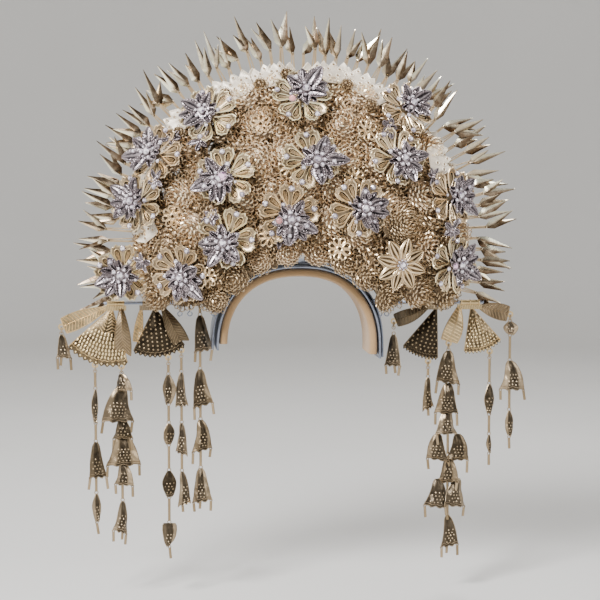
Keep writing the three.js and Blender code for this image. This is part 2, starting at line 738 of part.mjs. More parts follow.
function wingEye({ wings, side }, index) {
  const { from, angle, length } = wings[index];
  const { x, z } = around(from, shoulderMiddle(side), length + EYE_REACH, radians(angle));
  return vector(x, BAR.y, z);
}

function eyePlace({ butterfly, wing, tail }) {
  const found = BUTTERFLIES.find(({ name }) => name === butterfly);
  return tail === undefined ? wingEye(found, wing) : tailEye(found, tail);
}

function tailSheet(butterfly) {
  const place = (u, v) => {
    const reach = v > 0.6 ? tailRadius(butterfly.tail, u) : butterfly.tail.radius;
    const radius = blend(TAIL_SHEET.root, reach, v);
    const swell = TAIL_SHEET.bulge * Math.sin(Math.PI * u) * Math.sin(Math.PI * v);
    return tailPlace(butterfly, u, radius, BAR.y - swell);
  };
  return sheet(place, TAIL_SHEET.columns, 2);
}

// A wing: a leaf-shaped sheet with a low ridge, which bows clear of the tail between its root and its tip
function wingSheet({ from, angle, length, width, inFront = false }, side) {
  const turn = radians(angle);
  const profile = (v) => 0.18 + 0.82 * Math.sin(Math.PI * (0.04 + 0.72 * v));
  const place = (u, v) => {
    const { x, z } = around(from, shoulderMiddle(side), length * v, turn);
    const across = (u - 0.5) * width * profile(v);
    const ridge = WING_SHEET.fold * (1 - Math.abs(2 * u - 1));
    const bow = (inFront ? -WING_SHEET.forward - ridge : WING_SHEET.back + ridge) * Math.sin(Math.PI * v);
    return vector(x - across * Math.sin(turn), BAR.y + bow, z + across * Math.cos(turn));
  };
  return sheet(place, WING_SHEET.columns, WING_SHEET.rows);
}

function tab(centre) {
  const outline = new THREE.Shape(circle(TAB.sides).map((p) => p.multiplyScalar(TAB.radius)));
  outline.holes.push(new THREE.Path(circle(TAB.sides).map((p) => p.multiplyScalar(TAB.hole))));
  return plate(outline, TAB.thickness).translate(centre.x, centre.y, centre.z);
}

function rolledHem([left, right], side) {
  const half = (right - left) / 2;
  const corners = [[HEM.inner, -half], [HEM.outer, -half], [HEM.outer, half], [HEM.inner, half]];
  const profile = [...corners, corners[0]].map(([radius, along]) => new THREE.Vector2(radius, along));
  return new THREE.LatheGeometry(profile, HEM.sides)
    .rotateZ(-Math.PI / 2)
    .translate((left + right) / 2, BAR.y, BAR[side]);
}

function butterflyBody(butterfly) {
  const { name, hem, wings, side, tail } = butterfly;
  const ends = [...hem, tail.from, ...wings.map(({ from }) => from)];
  const [left, right] = [Math.min(...ends) - SHOULDER.margin, Math.max(...ends) + SHOULDER.margin];
  const middle = vector((left + right) / 2, BAR.y, shoulderMiddle(side));
  const hung = STRINGS.filter(({ hangs }) => hangs.butterfly === name);
  return joined([
    box(right - left, SHOULDER.thickness, SHOULDER.height, middle),
    tailSheet(butterfly),
    ...wings.map((wing) => wingSheet(wing, side)),
    rolledHem(hem, side),
    ...hung.map(({ hangs }) => tab(eyePlace(hangs))),
  ]);
}

// Strings of stamped plates: a jump ring, then flat sections that widen into plates and narrow into strips
const LINK = { halfWidth: 1.3, thickness: 1.1, step: 0.1, tail: 13, lap: 0.9 };
const HANG = { onBar: 0.45, inTab: 0.35 }; // how far a jump ring stays off what it hangs on
const PLATE_SECTIONS = {
  strip: [],
  bell: [{ down: 0.12, half: 0.2 }, { down: 0.9, half: 0.5 }, { down: 0.99, half: 0.3 }],
  pair: [{ down: 0.1, half: 0.32 }, { down: 0.88, half: 0.5 }, { down: 0.99, half: 0.36 }],
  leaf: [{ down: 0.05, half: 0.15 }, { down: 0.45, half: 0.5 }, { down: 0.95, half: 0.25 }],
  shield: [{ down: 0.02, half: 0.5 }, { down: 0.55, half: 0.42 }, { down: 0.98, half: 0.1 }],
};

function ringPlace({ hangs }) {
  if (hangs.bar !== undefined) {
    return vector(hangs.bar, BAR.y, BAR.left + BAR.wire + HANG.onBar - RING.radius + RING.wire);
  }
  const eye = eyePlace(hangs);
  return eye.setZ(eye.z - TAB.hole + HANG.inTab + RING.wire - RING.radius);
}

// A level cut through a string: a thin rectangle about the string's line, turned about it
function flatSection(line, z, half, turn) {
  const along = new THREE.Vector2(half, 0).rotateAround(new THREE.Vector2(), radians(turn));
  const through = new THREE.Vector2(0, LINK.thickness / 2).rotateAround(new THREE.Vector2(), radians(turn));
  const corners = [[1, 1], [1, -1], [-1, -1], [-1, 1]];
  return corners.map(([a, b]) =>
    vector(line.x + a * along.x + b * through.x, line.y + a * along.y + b * through.y, z));
}

function stringBody(row) {
  const top = ringPlace(row);
  let z = top.z - RING.radius - RING.wire + LINK.lap;
  const narrow = () => ({ z, half: LINK.halfWidth, turn: 0 });
  const sections = [narrow()];
  for (const { shape, height, width, turn } of row.rows) {
    const cuts = PLATE_SECTIONS[shape];
    sections.push(...cuts.map(({ down, half }) => ({ z: z - down * height, half: half * width, turn })));
    z -= height;
    if (shape === "strip") sections.push(narrow());
  }
  z -= LINK.step;
  sections.push(narrow());
  z -= LINK.tail;
  sections.push(narrow());
  return joined([ring(top), loft(sections.map((cut) => flatSection(top, cut.z, cut.half, cut.turn)))]);
}

// The whole crown
const crown = new THREE.Group();
crown.name = "bridal_crown";
crown.add(meshOf("headband", headband(), CLOTH));
crown.add(meshOf("frame", frame(), ZINC));
TIERS.forEach((tier, i) => crown.add(meshOf(`rosette_tier_${i + 1}`, tierBody(tier), GILT)));
LARGE_FLOWERS.forEach((flower, i) => {
  crown.add(meshOf(`large_flower_${i + 1}`, largeFlower(flower), SILVER));
});
crown.add(meshOf("gilt_flower", giltFlower(GILT_FLOWER), GILT));
crown.add(meshOf("crest_plates", crest(), PALE_GILT));
crown.add(meshOf("spike_fringe", spikeFringe(), PALE_GILT));
for (const butterfly of BUTTERFLIES) {
  crown.add(meshOf(`butterfly_${butterfly.name}`, butterflyBody(butterfly), OLD_GILT));
}
for (const row of STRINGS) crown.add(meshOf(row.name, stringBody(row), OLD_GILT));

export default crown;
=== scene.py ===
"""A fan-shaped bridal crown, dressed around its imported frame.

Shapes are worked out in millimetres, as the frame was drawn, and become meshes in metres.
+X is the viewer's right, -Y the front, +Z up, and the origin is the seat on the head.
"""
import math
from collections import namedtuple
from types import SimpleNamespace

import bpy
import numpy as np
from bpy.props import FloatProperty, FloatVectorProperty, IntProperty, PointerProperty
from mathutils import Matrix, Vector
from mathutils.geometry import tessellate_polygon


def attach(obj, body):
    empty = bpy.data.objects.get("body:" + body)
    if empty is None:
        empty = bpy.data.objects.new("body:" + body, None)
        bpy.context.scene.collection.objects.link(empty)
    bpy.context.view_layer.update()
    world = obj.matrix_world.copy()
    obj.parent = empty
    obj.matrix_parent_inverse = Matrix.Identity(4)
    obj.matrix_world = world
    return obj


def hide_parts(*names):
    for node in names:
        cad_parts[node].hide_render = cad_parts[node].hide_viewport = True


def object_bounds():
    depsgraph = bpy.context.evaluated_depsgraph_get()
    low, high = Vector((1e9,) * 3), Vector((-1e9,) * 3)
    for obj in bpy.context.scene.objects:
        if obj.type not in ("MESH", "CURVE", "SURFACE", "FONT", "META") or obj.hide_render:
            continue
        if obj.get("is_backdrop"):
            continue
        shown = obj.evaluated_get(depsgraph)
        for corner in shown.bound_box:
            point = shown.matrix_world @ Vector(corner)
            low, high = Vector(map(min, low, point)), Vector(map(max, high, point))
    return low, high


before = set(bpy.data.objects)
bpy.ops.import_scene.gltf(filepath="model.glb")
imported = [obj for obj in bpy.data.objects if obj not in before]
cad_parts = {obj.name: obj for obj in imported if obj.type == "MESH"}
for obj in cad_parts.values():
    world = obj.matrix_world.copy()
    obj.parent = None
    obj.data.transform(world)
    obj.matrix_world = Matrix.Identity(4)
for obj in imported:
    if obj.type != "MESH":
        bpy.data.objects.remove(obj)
CAD_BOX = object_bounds()

bl_info = {
    "name": "Bridal crown",
    "version": (1, 0, 0),
    "blender": (4, 5, 0),
    "location": "View3D > Sidebar > Crown",
    "description": "Dresses the packed frame of a fan-shaped bridal crown",
    "category": "Add Mesh",
}

MM = 0.001
SEED = 8
STRING_SEED = 11
SHARP_EDGE = math.radians(38)

# The sizes that the frame was drawn with, in millimetres and degrees
GAP = 0.3
BAND = SimpleNamespace(half_width=70, rise=70, squareness=2.3, thickness=9, depth=60, left=-65, right=-77)
HOOP = SimpleNamespace(inner=9.3, outer=11.3, depth=66, left=-71, right=-81)
RAIL = SimpleNamespace(inner=13.7, outer=15.3, depth=44, posts=(30, 90, 150), post_width=3)
FAN = SimpleNamespace(x=4, z=35, rim=152, reach=178)
DOME = SimpleNamespace(rim_y=-2, depth=58, power=2.6)
FRAME = SimpleNamespace(hoop_y=-8, rim_y=12, wire=1.1, spokes=12, first_spoke=30, rim_end=-20, rim_steps=72)
BAR = SimpleNamespace(y=2, rear_y=12, reach=191, wire=1.15, left=-27, right=-29, ties=(-162, 152))
STRIP = SimpleNamespace(width=5, thickness=1.2, clear=0.55)
TIER = SimpleNamespace(first=97, pitch=31, count=5, lowest=-20, clear_of_rim=27)
SHEET = 1.2
FLOWER = SimpleNamespace(lift=14, stem=1.3, foot=2.4, ankle=4, room=21)
ARCH_CENTRE = -BAND.rise
RAIL_MIDDLE = (RAIL.inner + RAIL.outer) / 2
RIM_STRIP_Y = FRAME.rim_y - FRAME.wire - STRIP.clear - GAP - STRIP.thickness / 2
CREST_STRIP_Y = FRAME.rim_y + FRAME.wire + GAP + STRIP.thickness / 2
SPIKE_STRIP_Y = CREST_STRIP_Y + STRIP.thickness + 2 * GAP
SPIKES = SimpleNamespace(
    first=-17, last=197, rows=3, lean=3.5, lean_run=45, bend=166, neck=192, neck_per_row=3)
CREST = SimpleNamespace(count=12, first=22, last=158, width=30, base=154, top=178)

# The rosettes: how far each kind rises, how many petals it has and how far it stands out from the dome
# Heads and fillers are tinted lighter the higher they stand on the face: painted light
HEAD = SimpleNamespace(
    rise=8, petals=54, kinds=4, pitch=28.5, stem=2.4, lowest_tier_scale=0.8, tint=0.4, tint_rise=0.0045)
FILLER = SimpleNamespace(rise=5.6, petals=19, kinds=3, lift=-1.5, tries=9000, tint=(0, 0.5), tint_rise=0.0025)
# The fillers set back are tinted dark: painted shade in the gaps between the heads
BACK_FILLER = SimpleNamespace(rise=4.4, petals=12, lift=-6, tint=(0, 0.2))
LARGE_ROSETTE = SimpleNamespace(rise=9, petals=150, x=97, z=54, radius=24, lift=5, wire=0.85, tint=0.2)
BUTTON = SimpleNamespace(rise=4.6, petals=22, radius=6.8, wire=0.7, lift=12, stem=1.4, tint=0.15)
DAISIES = [(-38, 145), (-12, 107), (48, 97), (-32, 43), (-141, 50), (-121, 60), (-89, 3), (62, 140), (34, 30)]
DAISY = SimpleNamespace(lift=8, tint=0.4)
SPRIGS = [
    (-92, 128), (-117, 130), (-131, 92), (140, 46), (122, 96), (80, 141), (-22, 42), (-82, 60), (-143, 18),
]
SPRIG = SimpleNamespace(lift=15, scale=0.5, length=21, width=11, leaves=5, tint=(0.3, 0.8))

# The large flowers: place on the face seen from the front, turn about their axis, and shift of the star
Flower = namedtuple("Flower", "x z turn star_x star_y")
LARGE_FLOWERS = [
    Flower(-83, 152, 20, -5, 2), Flower(1, 168, -54, 4, 5), Flower(99, 158, 8, 4, 4),
    Flower(-132, 116, 40, -4, 3), Flower(-71, 97, 12, -5, -3), Flower(8, 112, 30, 5, -1),
    Flower(88, 114, -8, 5, -2), Flower(-149, 72, 5, -2, 2), Flower(-70, 41, -16, -4, -4),
    Flower(-14, 63, 10, 2, -5), Flower(51, 68, -12, 5, 0), Flower(141, 76, 26, 4, 3),
    Flower(-172, 5, 18, -3, -2), Flower(-112, 8, 44, 2, -4), Flower(143, 13, -30, 3, 3),
]
POINTED_FLOWER = Flower(92, 15, 0, 0, 0)
ALL_FLOWERS = (*LARGE_FLOWERS, POINTED_FLOWER)

# The pendants: hem on the side bar, and the start, angle, size and pattern of the tail and the wings
Tail = namedtuple("Tail", "start angle radius spread pattern finish")
Wing = namedtuple("Wing", "start angle length width pattern finish in_front notch", defaults=(False, 0.0))
Butterfly = namedtuple("Butterfly", "bar hem tail wings")
# Bright gilt and dark gilt are lit and shaded copies of one gilt: painted light on the pendants that face the
# light, painted shade on those that face down and away; dark gilt also colours the strings
BUTTERFLIES = {
    "left_outer": Butterfly(BAR.left, (-188, -171), Tail(-183, -107, 59, 32, "scales", "bright_gilt"), [
        Wing(-188, -158, 46, 17, "herringbone", "bright_gilt"),
        Wing(-174, -88, 48, 16, "herringbone", "worn_gilt", True, 0.12),
    ]),
    "left_inner": Butterfly(BAR.left, (-153, -131), Tail(-141, -84, 50, 32, "bosses", "old_gilt"), [
        Wing(-154, -98, 34, 8, "ribs", "bright_gilt"),
        Wing(-133, -62, 41, 16, "herringbone", "old_gilt", True, 0.1),
    ]),
    "right_inner": Butterfly(BAR.right, (122, 141), Tail(143, -110, 54, 21, "bosses", "old_gilt"), [
        Wing(134, -158, 35, 14, "ribs", "old_gilt", True),
    ]),
    "right_outer": Butterfly(BAR.right, (167, 187), Tail(178, -73, 48, 25, "dots", "bright_gilt"), [
        Wing(166, -106, 36, 18, "ribs", "bright_gilt", True),
        Wing(186, -14, 31, 16, "herringbone", "worn_gilt"),
    ]),
}
TAIL_EDGE = SimpleNamespace(steps=10, depth=2.5)
HEM = SimpleNamespace(inner=1.65, outer=2.6, ring_wire=0.45)
SHOULDER = SimpleNamespace(drop=2, height=5, thickness=1.6, margin=2)
TAB = SimpleNamespace(radius=3.3, hole=1.6, thickness=1, reach=2.5)
RING = SimpleNamespace(radius=2.7, wire=0.7, on_bar=0.45, in_tab=0.35)
LINK_RING = SimpleNamespace(radius=1.7, wire=0.5, drop=0.6)
LOOSE_RING = SimpleNamespace(radius=1.3, wire=0.42, drop=1)
LOOSE_STRIP = SimpleNamespace(drop=1.9, swing=(-9, 9), length=(8, 12), tint=(0.1, 0.7), from_width=14)
LINK = SimpleNamespace(
    width=2.6, lap=0.9, tail=13, tail_short=2, least=7, short=2.2, drop=1.8, overhang=3.5, twist=(-20, 20))

# The strings: where each hangs, then its rows from the top. A pair is two plates side by side.
Hang = namedtuple("Hang", "butterfly wing tail bar", defaults=(None, None, None, None))
Row = namedtuple("Row", "shape height width turn", defaults=(LINK.width, 0))
String = namedtuple("String", "name hang rows")
STRINGS = [
    String("left_tip_drop", Hang("left_outer", wing=0), [Row("bell", 20, 15, 20)]),
    String("left_thin_string", Hang("left_outer", tail=0.5), [
        Row("strip", 17), Row("leaf", 35, 9, 40), Row("strip", 18), Row("bell", 32, 18, 10),
        Row("strip", 20), Row("leaf", 30, 10, 30),
    ]),
    String("left_broad_string", Hang("left_outer", tail=0.9), [
        Row("bell", 13, 21, -25), Row("bell", 31, 33, 12), Row("bell", 17, 21, -20),
        Row("bell", 27, 35), Row("bell", 20, 20, -20), Row("strip", 20), Row("bell", 28, 15, 25),
    ]),
    String("left_leaf_string", Hang("left_inner", tail=0.64), [
        Row("strip", 10), Row("leaf", 31, 14, -20), Row("strip", 18), Row("leaf", 23, 13, 30),
        Row("strip", 25), Row("leaf", 28, 14), Row("strip", 25), Row("shield", 25, 14, 10),
    ]),
    String("left_middle_string", Hang("left_inner", tail=0.9), [
        Row("strip", 15), Row("bell", 30, 13, 15), Row("strip", 21), Row("bell", 27, 13, -30),
        Row("strip", 22), Row("bell", 30, 13, 10),
    ]),
    String("left_inner_string", Hang(bar=-96), [
        Row("strip", 8), Row("bell", 32, 19), Row("strip", 22), Row("bell", 33, 21, -15),
        Row("strip", 18), Row("bell", 27, 21, 10), Row("strip", 22), Row("bell", 30, 20, -8),
    ]),
    String("right_tip_drop", Hang("right_inner", wing=0), [Row("strip", 6), Row("bell", 28, 16, -15)]),
    String("right_short_string", Hang("right_inner", tail=0.766), [Row("strip", 9), Row("bell", 28, 13, 20)]),
    String("right_broad_string", Hang("right_outer", wing=0), [
        Row("bell", 29, 24), Row("strip", 4), Row("bell", 27, 24, -12), Row("bell", 21, 24, 14),
        Row("strip", 4), Row("pair", 23, 44, -8), Row("bell", 23, 22, -25), Row("pair", 25, 46, 6),
        Row("strip", 13), Row("bell", 28, 18, -10),
    ]),
    String("right_thin_string", Hang("right_outer", tail=0.626), [
        Row("strip", 26), Row("leaf", 32, 12, 20), Row("strip", 20), Row("leaf", 20, 8, 40),
    ]),
    String("right_end_string", Hang("right_outer", wing=1), [
        Row("leaf", 15, 15, -10), Row("strip", 25), Row("bell", 26, 26), Row("strip", 25),
        Row("leaf", 28, 9, 15),
    ]),
]

Shape = namedtuple("Shape", "points faces polish")
Layer = namedtuple("Layer", "shape finish tint")


# Sizes and colours that a user would change

class CrownSizes(bpy.types.PropertyGroup):
    """Sizes of the fine work that the frame leaves open."""
    rosette_radius: FloatProperty(
        name="Rosette radius", description="From the middle of a rosette to its outer petal tips",
        default=0.0175, min=0.01, max=0.02, unit="LENGTH")
    petal_wire: FloatProperty(
        name="Petal wire", description="Width of the flat wire that rosette petals are bent from",
        default=0.00105, min=0.0004, max=0.0015, unit="LENGTH")
    filler_radius: FloatProperty(
        name="Filler radius", description="Radius of the small rosettes between the flowers",
        default=0.0105, min=0.006, max=0.014, unit="LENGTH")
    flower_radius: FloatProperty(
        name="Flower radius", description="From the middle of a large flower to its heart tips",
        default=0.0275, min=0.02, max=0.03, unit="LENGTH")
    stone_radius: FloatProperty(
        name="Stone radius", description="Radius of the stone in the middle of a large flower",
        default=0.0034, min=0.002, max=0.006, unit="LENGTH")
    spike_count: IntProperty(
        name="Spikes", description="How many pairs of folded leaves the fringe has",
        default=64, min=30, max=90)
    spike_length: FloatProperty(
        name="Spike length", description="Length of one folded leaf",
        default=0.0325, min=0.02, max=0.04, unit="LENGTH")
    spike_width: FloatProperty(
        name="Spike width", description="Width of one folded leaf where it is widest",
        default=0.0104, min=0.005, max=0.014, unit="LENGTH")


def colour_property(name, description, default):
    return FloatVectorProperty(
        name=name, description=description, default=default, size=3, min=0, max=1, subtype="COLOR")


class CrownColours(bpy.types.PropertyGroup):
    """Colours of the finishes at their brightest, where highlights are painted and where wear has polished
    them.
    """
    gilt: colour_property("Gilt", "Rosettes and tiers", (1.0, 0.77, 0.50))
    cream_gilt: colour_property("Cream gilt", "Daisies and heart petals", (1.0, 0.77, 0.49))
    bright_gilt: colour_property("Bright gilt", "Bright pendants", (0.96, 0.72, 0.39))
    cream: colour_property("Cream", "Crest plates", (1.0, 0.91, 0.76))
    # Bright gilt and dark gilt are lit and shaded copies of one gilt: painted light and painted shade on the
    # pendants
    pale_gilt: colour_property("Pale gilt", "Spikes and strips", (1.0, 0.84, 0.60))
    worn_gilt: colour_property("Worn gilt", "Wings worn to a dull gold", (0.52, 0.39, 0.24))
    old_gilt: colour_property("Old gilt", "Dark pendants and their strings", (0.52, 0.40, 0.26))
    silver: colour_property("Silver", "Stars of the large flowers", (0.56, 0.485, 0.505))
    zinc: colour_property("Zinc", "Hoop, rail, spokes and bars", (0.44, 0.49, 0.60))
    cloth: colour_property("Cloth", "Cover of the headband", (0.50, 0.31, 0.15))
    clear_stone: colour_property("Clear stone", "Cut stones", (1.0, 0.95, 1.0))
    pink_stone: colour_property("Pink stone", "Round stones", (0.92, 0.42, 0.40))
    lilac_stone: colour_property("Lilac stone", "Cut stones in two of the flowers", (0.98, 0.66, 0.86))


# Shapes: closed surfaces of triangles, with how bright each point is painted: painted highlights and painted
# shade, and on the cloth some wear

def make_shape(points, faces, polish=0.5):
    points = np.asarray(points, float).reshape(-1, 3)
    faces = np.asarray(faces, int).reshape(-1, 3)
    return Shape(points, faces, np.broadcast_to(polish, len(points)).astype(float))


def gathered(shapes):
    """Several shapes as one."""
    starts = np.cumsum([0] + [len(shape.points) for shape in shapes[:-1]])
    return Shape(
        np.vstack([shape.points for shape in shapes]),
        np.vstack([shape.faces + start for shape, start in zip(shapes, starts)]),
        np.concatenate([shape.polish for shape in shapes]),
    )


def moved(shape, basis=None, offset=(0, 0, 0), scale=1.0):
    points = shape.points * scale
    if basis is not None:
        points = points @ np.asarray(basis).T
    return shape._replace(points=points + np.asarray(offset, float))


def turned(shape, angle, axis="z"):
    return moved(shape, rotation(angle, axis))


def rotation(angle, axis="z"):
    """A turn in degrees about one axis."""
    c, s = math.cos(math.radians(angle)), math.sin(math.radians(angle))
    return np.array({
        "x": [[1, 0, 0], [0, c, -s], [0, s, c]],
        "y": [[c, 0, s], [0, 1, 0], [-s, 0, c]],
        "z": [[c, -s, 0], [s, c, 0], [0, 0, 1]],
    }[axis])


def unit(vectors):
    return vectors / np.maximum(np.linalg.norm(vectors, axis=-1, keepdims=True), 1e-9)


def full_turn(count):
    """Equal steps of a whole turn."""
    return 2 * math.pi * np.arange(count) / count


def quads(a, b, c, d):
    """Two triangles for each set of four corners."""
    return np.concatenate([np.stack(corners, -1).reshape(-1, 3) for corners in ((a, b, c), (a, c, d))])


def tube_faces(count, sides, closed):
    """The wall of a tube of rings, with flat ends unless it is closed to a loop."""
    rows = np.arange(count if closed else count - 1)[:, None] * sides
    ahead = (rows + sides) % (count * sides)
    j = np.arange(sides)[None, :]
    k = (j + 1) % sides
    faces = quads(rows + j, rows + k, ahead + k, ahead + j)
    if closed:
        return faces
    fan = np.arange(1, sides - 1)
    first = np.stack([np.zeros_like(fan), fan + 1, fan], -1)
    last = np.stack([np.zeros_like(fan), fan, fan + 1], -1) + (count - 1) * sides
    return np.concatenate([faces, first, last])


def sweep(path, width, height=None, sides=6, closed=False, up=(0, 0, 1), polish=0.5):
    """A wire or strip of oval section along a path, with its height along up."""
    path = np.asarray(path, float)
    ahead, behind = np.roll(path, -1, 0), np.roll(path, 1, 0)
    if not closed:
        ahead[-1], behind[0] = path[-1], path[0]
    along = unit(ahead - behind)
    side = unit(np.cross(np.broadcast_to(np.asarray(up, float), path.shape), along))
    top = np.cross(along, side)
    angles = full_turn(sides) + math.pi / 2
    halves = np.broadcast_to(np.asarray(width, float) / 2, len(path))
    rises = halves if height is None else np.broadcast_to(np.asarray(height, float) / 2, len(path))
    ring = (side[:, None] * (np.cos(angles)[None, :, None] * halves[:, None, None])
            + top[:, None] * (np.sin(angles)[None, :, None] * rises[:, None, None]))
    shine = np.repeat(np.broadcast_to(polish, len(path)), sides)
    return make_shape(path[:, None] + ring, tube_faces(len(path), sides, closed), shine)


def rounds(profile, sides, polish=0.5):
    """A turned body: radius and height of each step from its lower end to its upper end."""
    angles = full_turn(sides)
    rings = [np.column_stack([r * np.cos(angles), r * np.sin(angles), np.full(sides, z)]) for r, z in profile]
    return make_shape(np.vstack(rings), tube_faces(len(profile), sides, False), polish)


def bead(radius, sides=6, polish=0.9):
    tilt = np.radians([-70, 0, 50, 80])
    return rounds([(radius * math.cos(t), radius * math.sin(t)) for t in tilt], sides, polish)


def cut_stone(radius):
    """A stone with a table and flat facets above and below the girdle, with painted flashes on some facets
    and painted dull shade on others.
    """
    facets = 8
    girdle = np.column_stack([circle(radius, facets), np.zeros(facets)])
    table = np.column_stack([circle(0.55 * radius, facets), np.full(facets, 0.6 * radius)])
    foot = np.array((0, 0, -0.7 * radius))
    flats = [(table, 1.0)]
    for k in range(facets):
        n = (k + 1) % facets
        flats.append((np.array((girdle[k], girdle[n], table[n], table[k])), (3 * k % facets) / (facets - 1)))
        flats.append((np.array((foot, girdle[n], girdle[k])), 0.3))
    return gathered([flat_facet(*flat) for flat in flats])


def flat_facet(corners, polish):
    fan = np.arange(1, len(corners) - 1)
    return make_shape(corners, np.stack([0 * fan, fan, fan + 1], -1), polish)


def round_stone(radius):
    profile = [(0.9, -0.3), (1, 0), (0.9, 0.4), (0.6, 0.72), (0.2, 0.86)]
    return moved(rounds(profile, 12, 1), scale=radius)


def stone_cup(radius):
    """The collar that a stone sits in."""
    profile = [(0.5, -0.9), (1.08, -0.15), (1.16, 0.1), (1.02, 0.2), (0.7, -0.2)]
    return moved(rounds(profile, 10, 0.75), scale=radius)


def torus(radius, wire, segments=14, sides=6, polish=0.6):
    """A jump ring that lies in the plane of Z and X."""
    angles = full_turn(segments)
    path = np.column_stack([radius * np.cos(angles), np.zeros(segments), radius * np.sin(angles)])
    return sweep(path, 2 * wire, sides=sides, closed=True, up=(0, 1, 0), polish=polish)


def sheet_faces(columns, rows):
    """Front, back and edges of a sheet whose front and back are grids of the same size."""
    grid = np.arange((rows + 1) * (columns + 1)).reshape(rows + 1, columns + 1)
    front = quads(grid[:-1, :-1], grid[1:, :-1], grid[1:, 1:], grid[:-1, 1:])
    back = front[:, ::-1] + grid.size
    edge = np.concatenate([grid[0, :-1], grid[:-1, -1], grid[-1, :0:-1], grid[:0:-1, 0]])
    after = np.roll(edge, -1)
    wall = quads(edge, after, after + grid.size, edge + grid.size)
    return np.concatenate([front, back, wall])


def stamped(place, columns, rows, thickness, shine, relief=None):
    """A stamped sheet over place(u, v), painted with light and shade by shine(u, v), darker on its back, and
    raised to its front by relief(u, v).
    """
    v, u = np.meshgrid(np.linspace(0, 1, rows + 1), np.linspace(0, 1, columns + 1), indexing="ij")
    base = np.stack(np.broadcast_arrays(*place(u, v)), -1)
    normal = unit(np.cross(np.gradient(base, axis=0), np.gradient(base, axis=1)))
    height = np.zeros_like(u) if relief is None else relief(u, v)
    front = base + normal * (height + thickness / 2)[..., None]
    back = base + normal * (height - thickness / 2)[..., None]
    bright = shine(u, v).ravel()
    points = np.concatenate([front.reshape(-1, 3), back.reshape(-1, 3)])
    return make_shape(points, sheet_faces(columns, rows), np.concatenate([bright, 0.6 * bright]))


def smooth_loop(points, steps):
    """A closed curve through a few corner points."""
    p = np.asarray(points, float)
    before, after, next_after = np.roll(p, 1, 0), np.roll(p, -1, 0), np.roll(p, -2, 0)
    t = (np.arange(steps) / steps)[None, :, None]
    a, b, c, d = (q[:, None] for q in (before, p, after, next_after))
    curve = 0.5 * (2 * b + (c - a) * t + (2 * a - 5 * b + 4 * c - d) * t**2 + (3 * b - a - 3 * c + d) * t**3)
    return curve.reshape(-1, p.shape[1])


def teardrop(start, end, width, count=12):
    """A closed drop, pointed at start and round at end."""
    start, end = np.asarray(start, float), np.asarray(end, float)
    t = full_turn(count)
    share = (1 - np.cos(t)) / 2
    across = np.array([start[1] - end[1], end[0] - start[0]]) / np.linalg.norm(end - start)
    return start + share[:, None] * (end - start) + (np.sin(t) * share**0.7 * width / 2)[:, None] * across


def circle(radius, count):
    angles = full_turn(count)
    return np.column_stack([radius * np.cos(angles), radius * np.sin(angles)])


def pierced(outline, holes, thickness, polish=0.5):
    """A flat plate with holes, in the plane of X and Y."""
    outlines = [np.asarray(line, float) for line in (outline, *holes)]
    flat = np.vstack(outlines)
    count = len(flat)
    corners = [[Vector((x, y, 0)) for x, y in line] for line in outlines]
    cap = np.array(tessellate_polygon(corners))
    p, q, r = flat[cap[:, 0]], flat[cap[:, 1]], flat[cap[:, 2]]
    clockwise = ((q - p)[:, 0] * (r - p)[:, 1] - (q - p)[:, 1] * (r - p)[:, 0]) < 0
    cap[clockwise] = cap[clockwise][:, ::-1]
    walls, start = [], 0
    for index, line in enumerate(outlines):
        after = np.roll(line, -1, 0)
        area = np.sum(line[:, 0] * after[:, 1] - after[:, 0] * line[:, 1])
        order = np.arange(len(line)) + start
        if (area > 0) == (index > 0):
            order = order[::-1]
        follow = np.roll(order, -1)
        walls.append(quads(order + count, follow + count, follow, order))
        start += len(line)
    halves = (thickness / 2, -thickness / 2)
    points = np.vstack([np.column_stack([flat, np.full(count, half)]) for half in halves])
    return make_shape(points, np.concatenate([cap, cap[:, ::-1] + count, *walls]), polish)


def raised(shape, height):
    """A shape whose points are lifted by height(x, y)."""
    x, y, z = shape.points.T
    return shape._replace(points=np.column_stack([x, y, z + height(x, y)]))


def tooth(share, count, depth):
    """How far a toothed edge is drawn in at a share of its length."""
    step = (share * count) % 1
    return depth * np.abs(2 * step - 1)


# Pieces: shapes of several finishes in one mesh, on a body of the frame

def moved_layers(layers, basis=None, offset=(0, 0, 0)):
    return [layer._replace(shape=moved(layer.shape, basis, offset)) for layer in layers]


def make_piece(name, layers, body, replaced):
    finishes = sorted({layer.finish for layer in layers})
    whole = gathered([layer.shape for layer in layers])
    mesh = bpy.data.meshes.new(name)
    mesh.from_pydata((whole.points * MM).tolist(), [], whole.faces.tolist())
    for finish in finishes:
        mesh.materials.append(finish_material(finish))
    counts = [len(layer.shape.faces) for layer in layers]
    indices = np.repeat([finishes.index(layer.finish) for layer in layers], counts)
    mesh.polygons.foreach_set("material_index", indices.astype(np.int32))
    mesh.polygons.foreach_set("use_smooth", np.ones(len(whole.faces), bool))
    tints = np.repeat([layer.tint for layer in layers], [len(layer.shape.points) for layer in layers])
    for attribute, values in (("polish", whole.polish), ("tint", tints)):
        mesh.attributes.new(attribute, "FLOAT", "POINT").data.foreach_set("value", values.astype(np.float32))
    mesh.set_sharp_from_angle(angle=SHARP_EDGE)
    piece = bpy.data.objects.new(name, mesh)
    bpy.context.scene.collection.objects.link(piece)
    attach(piece, body)
    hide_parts(*replaced)
    return piece


# Finishes

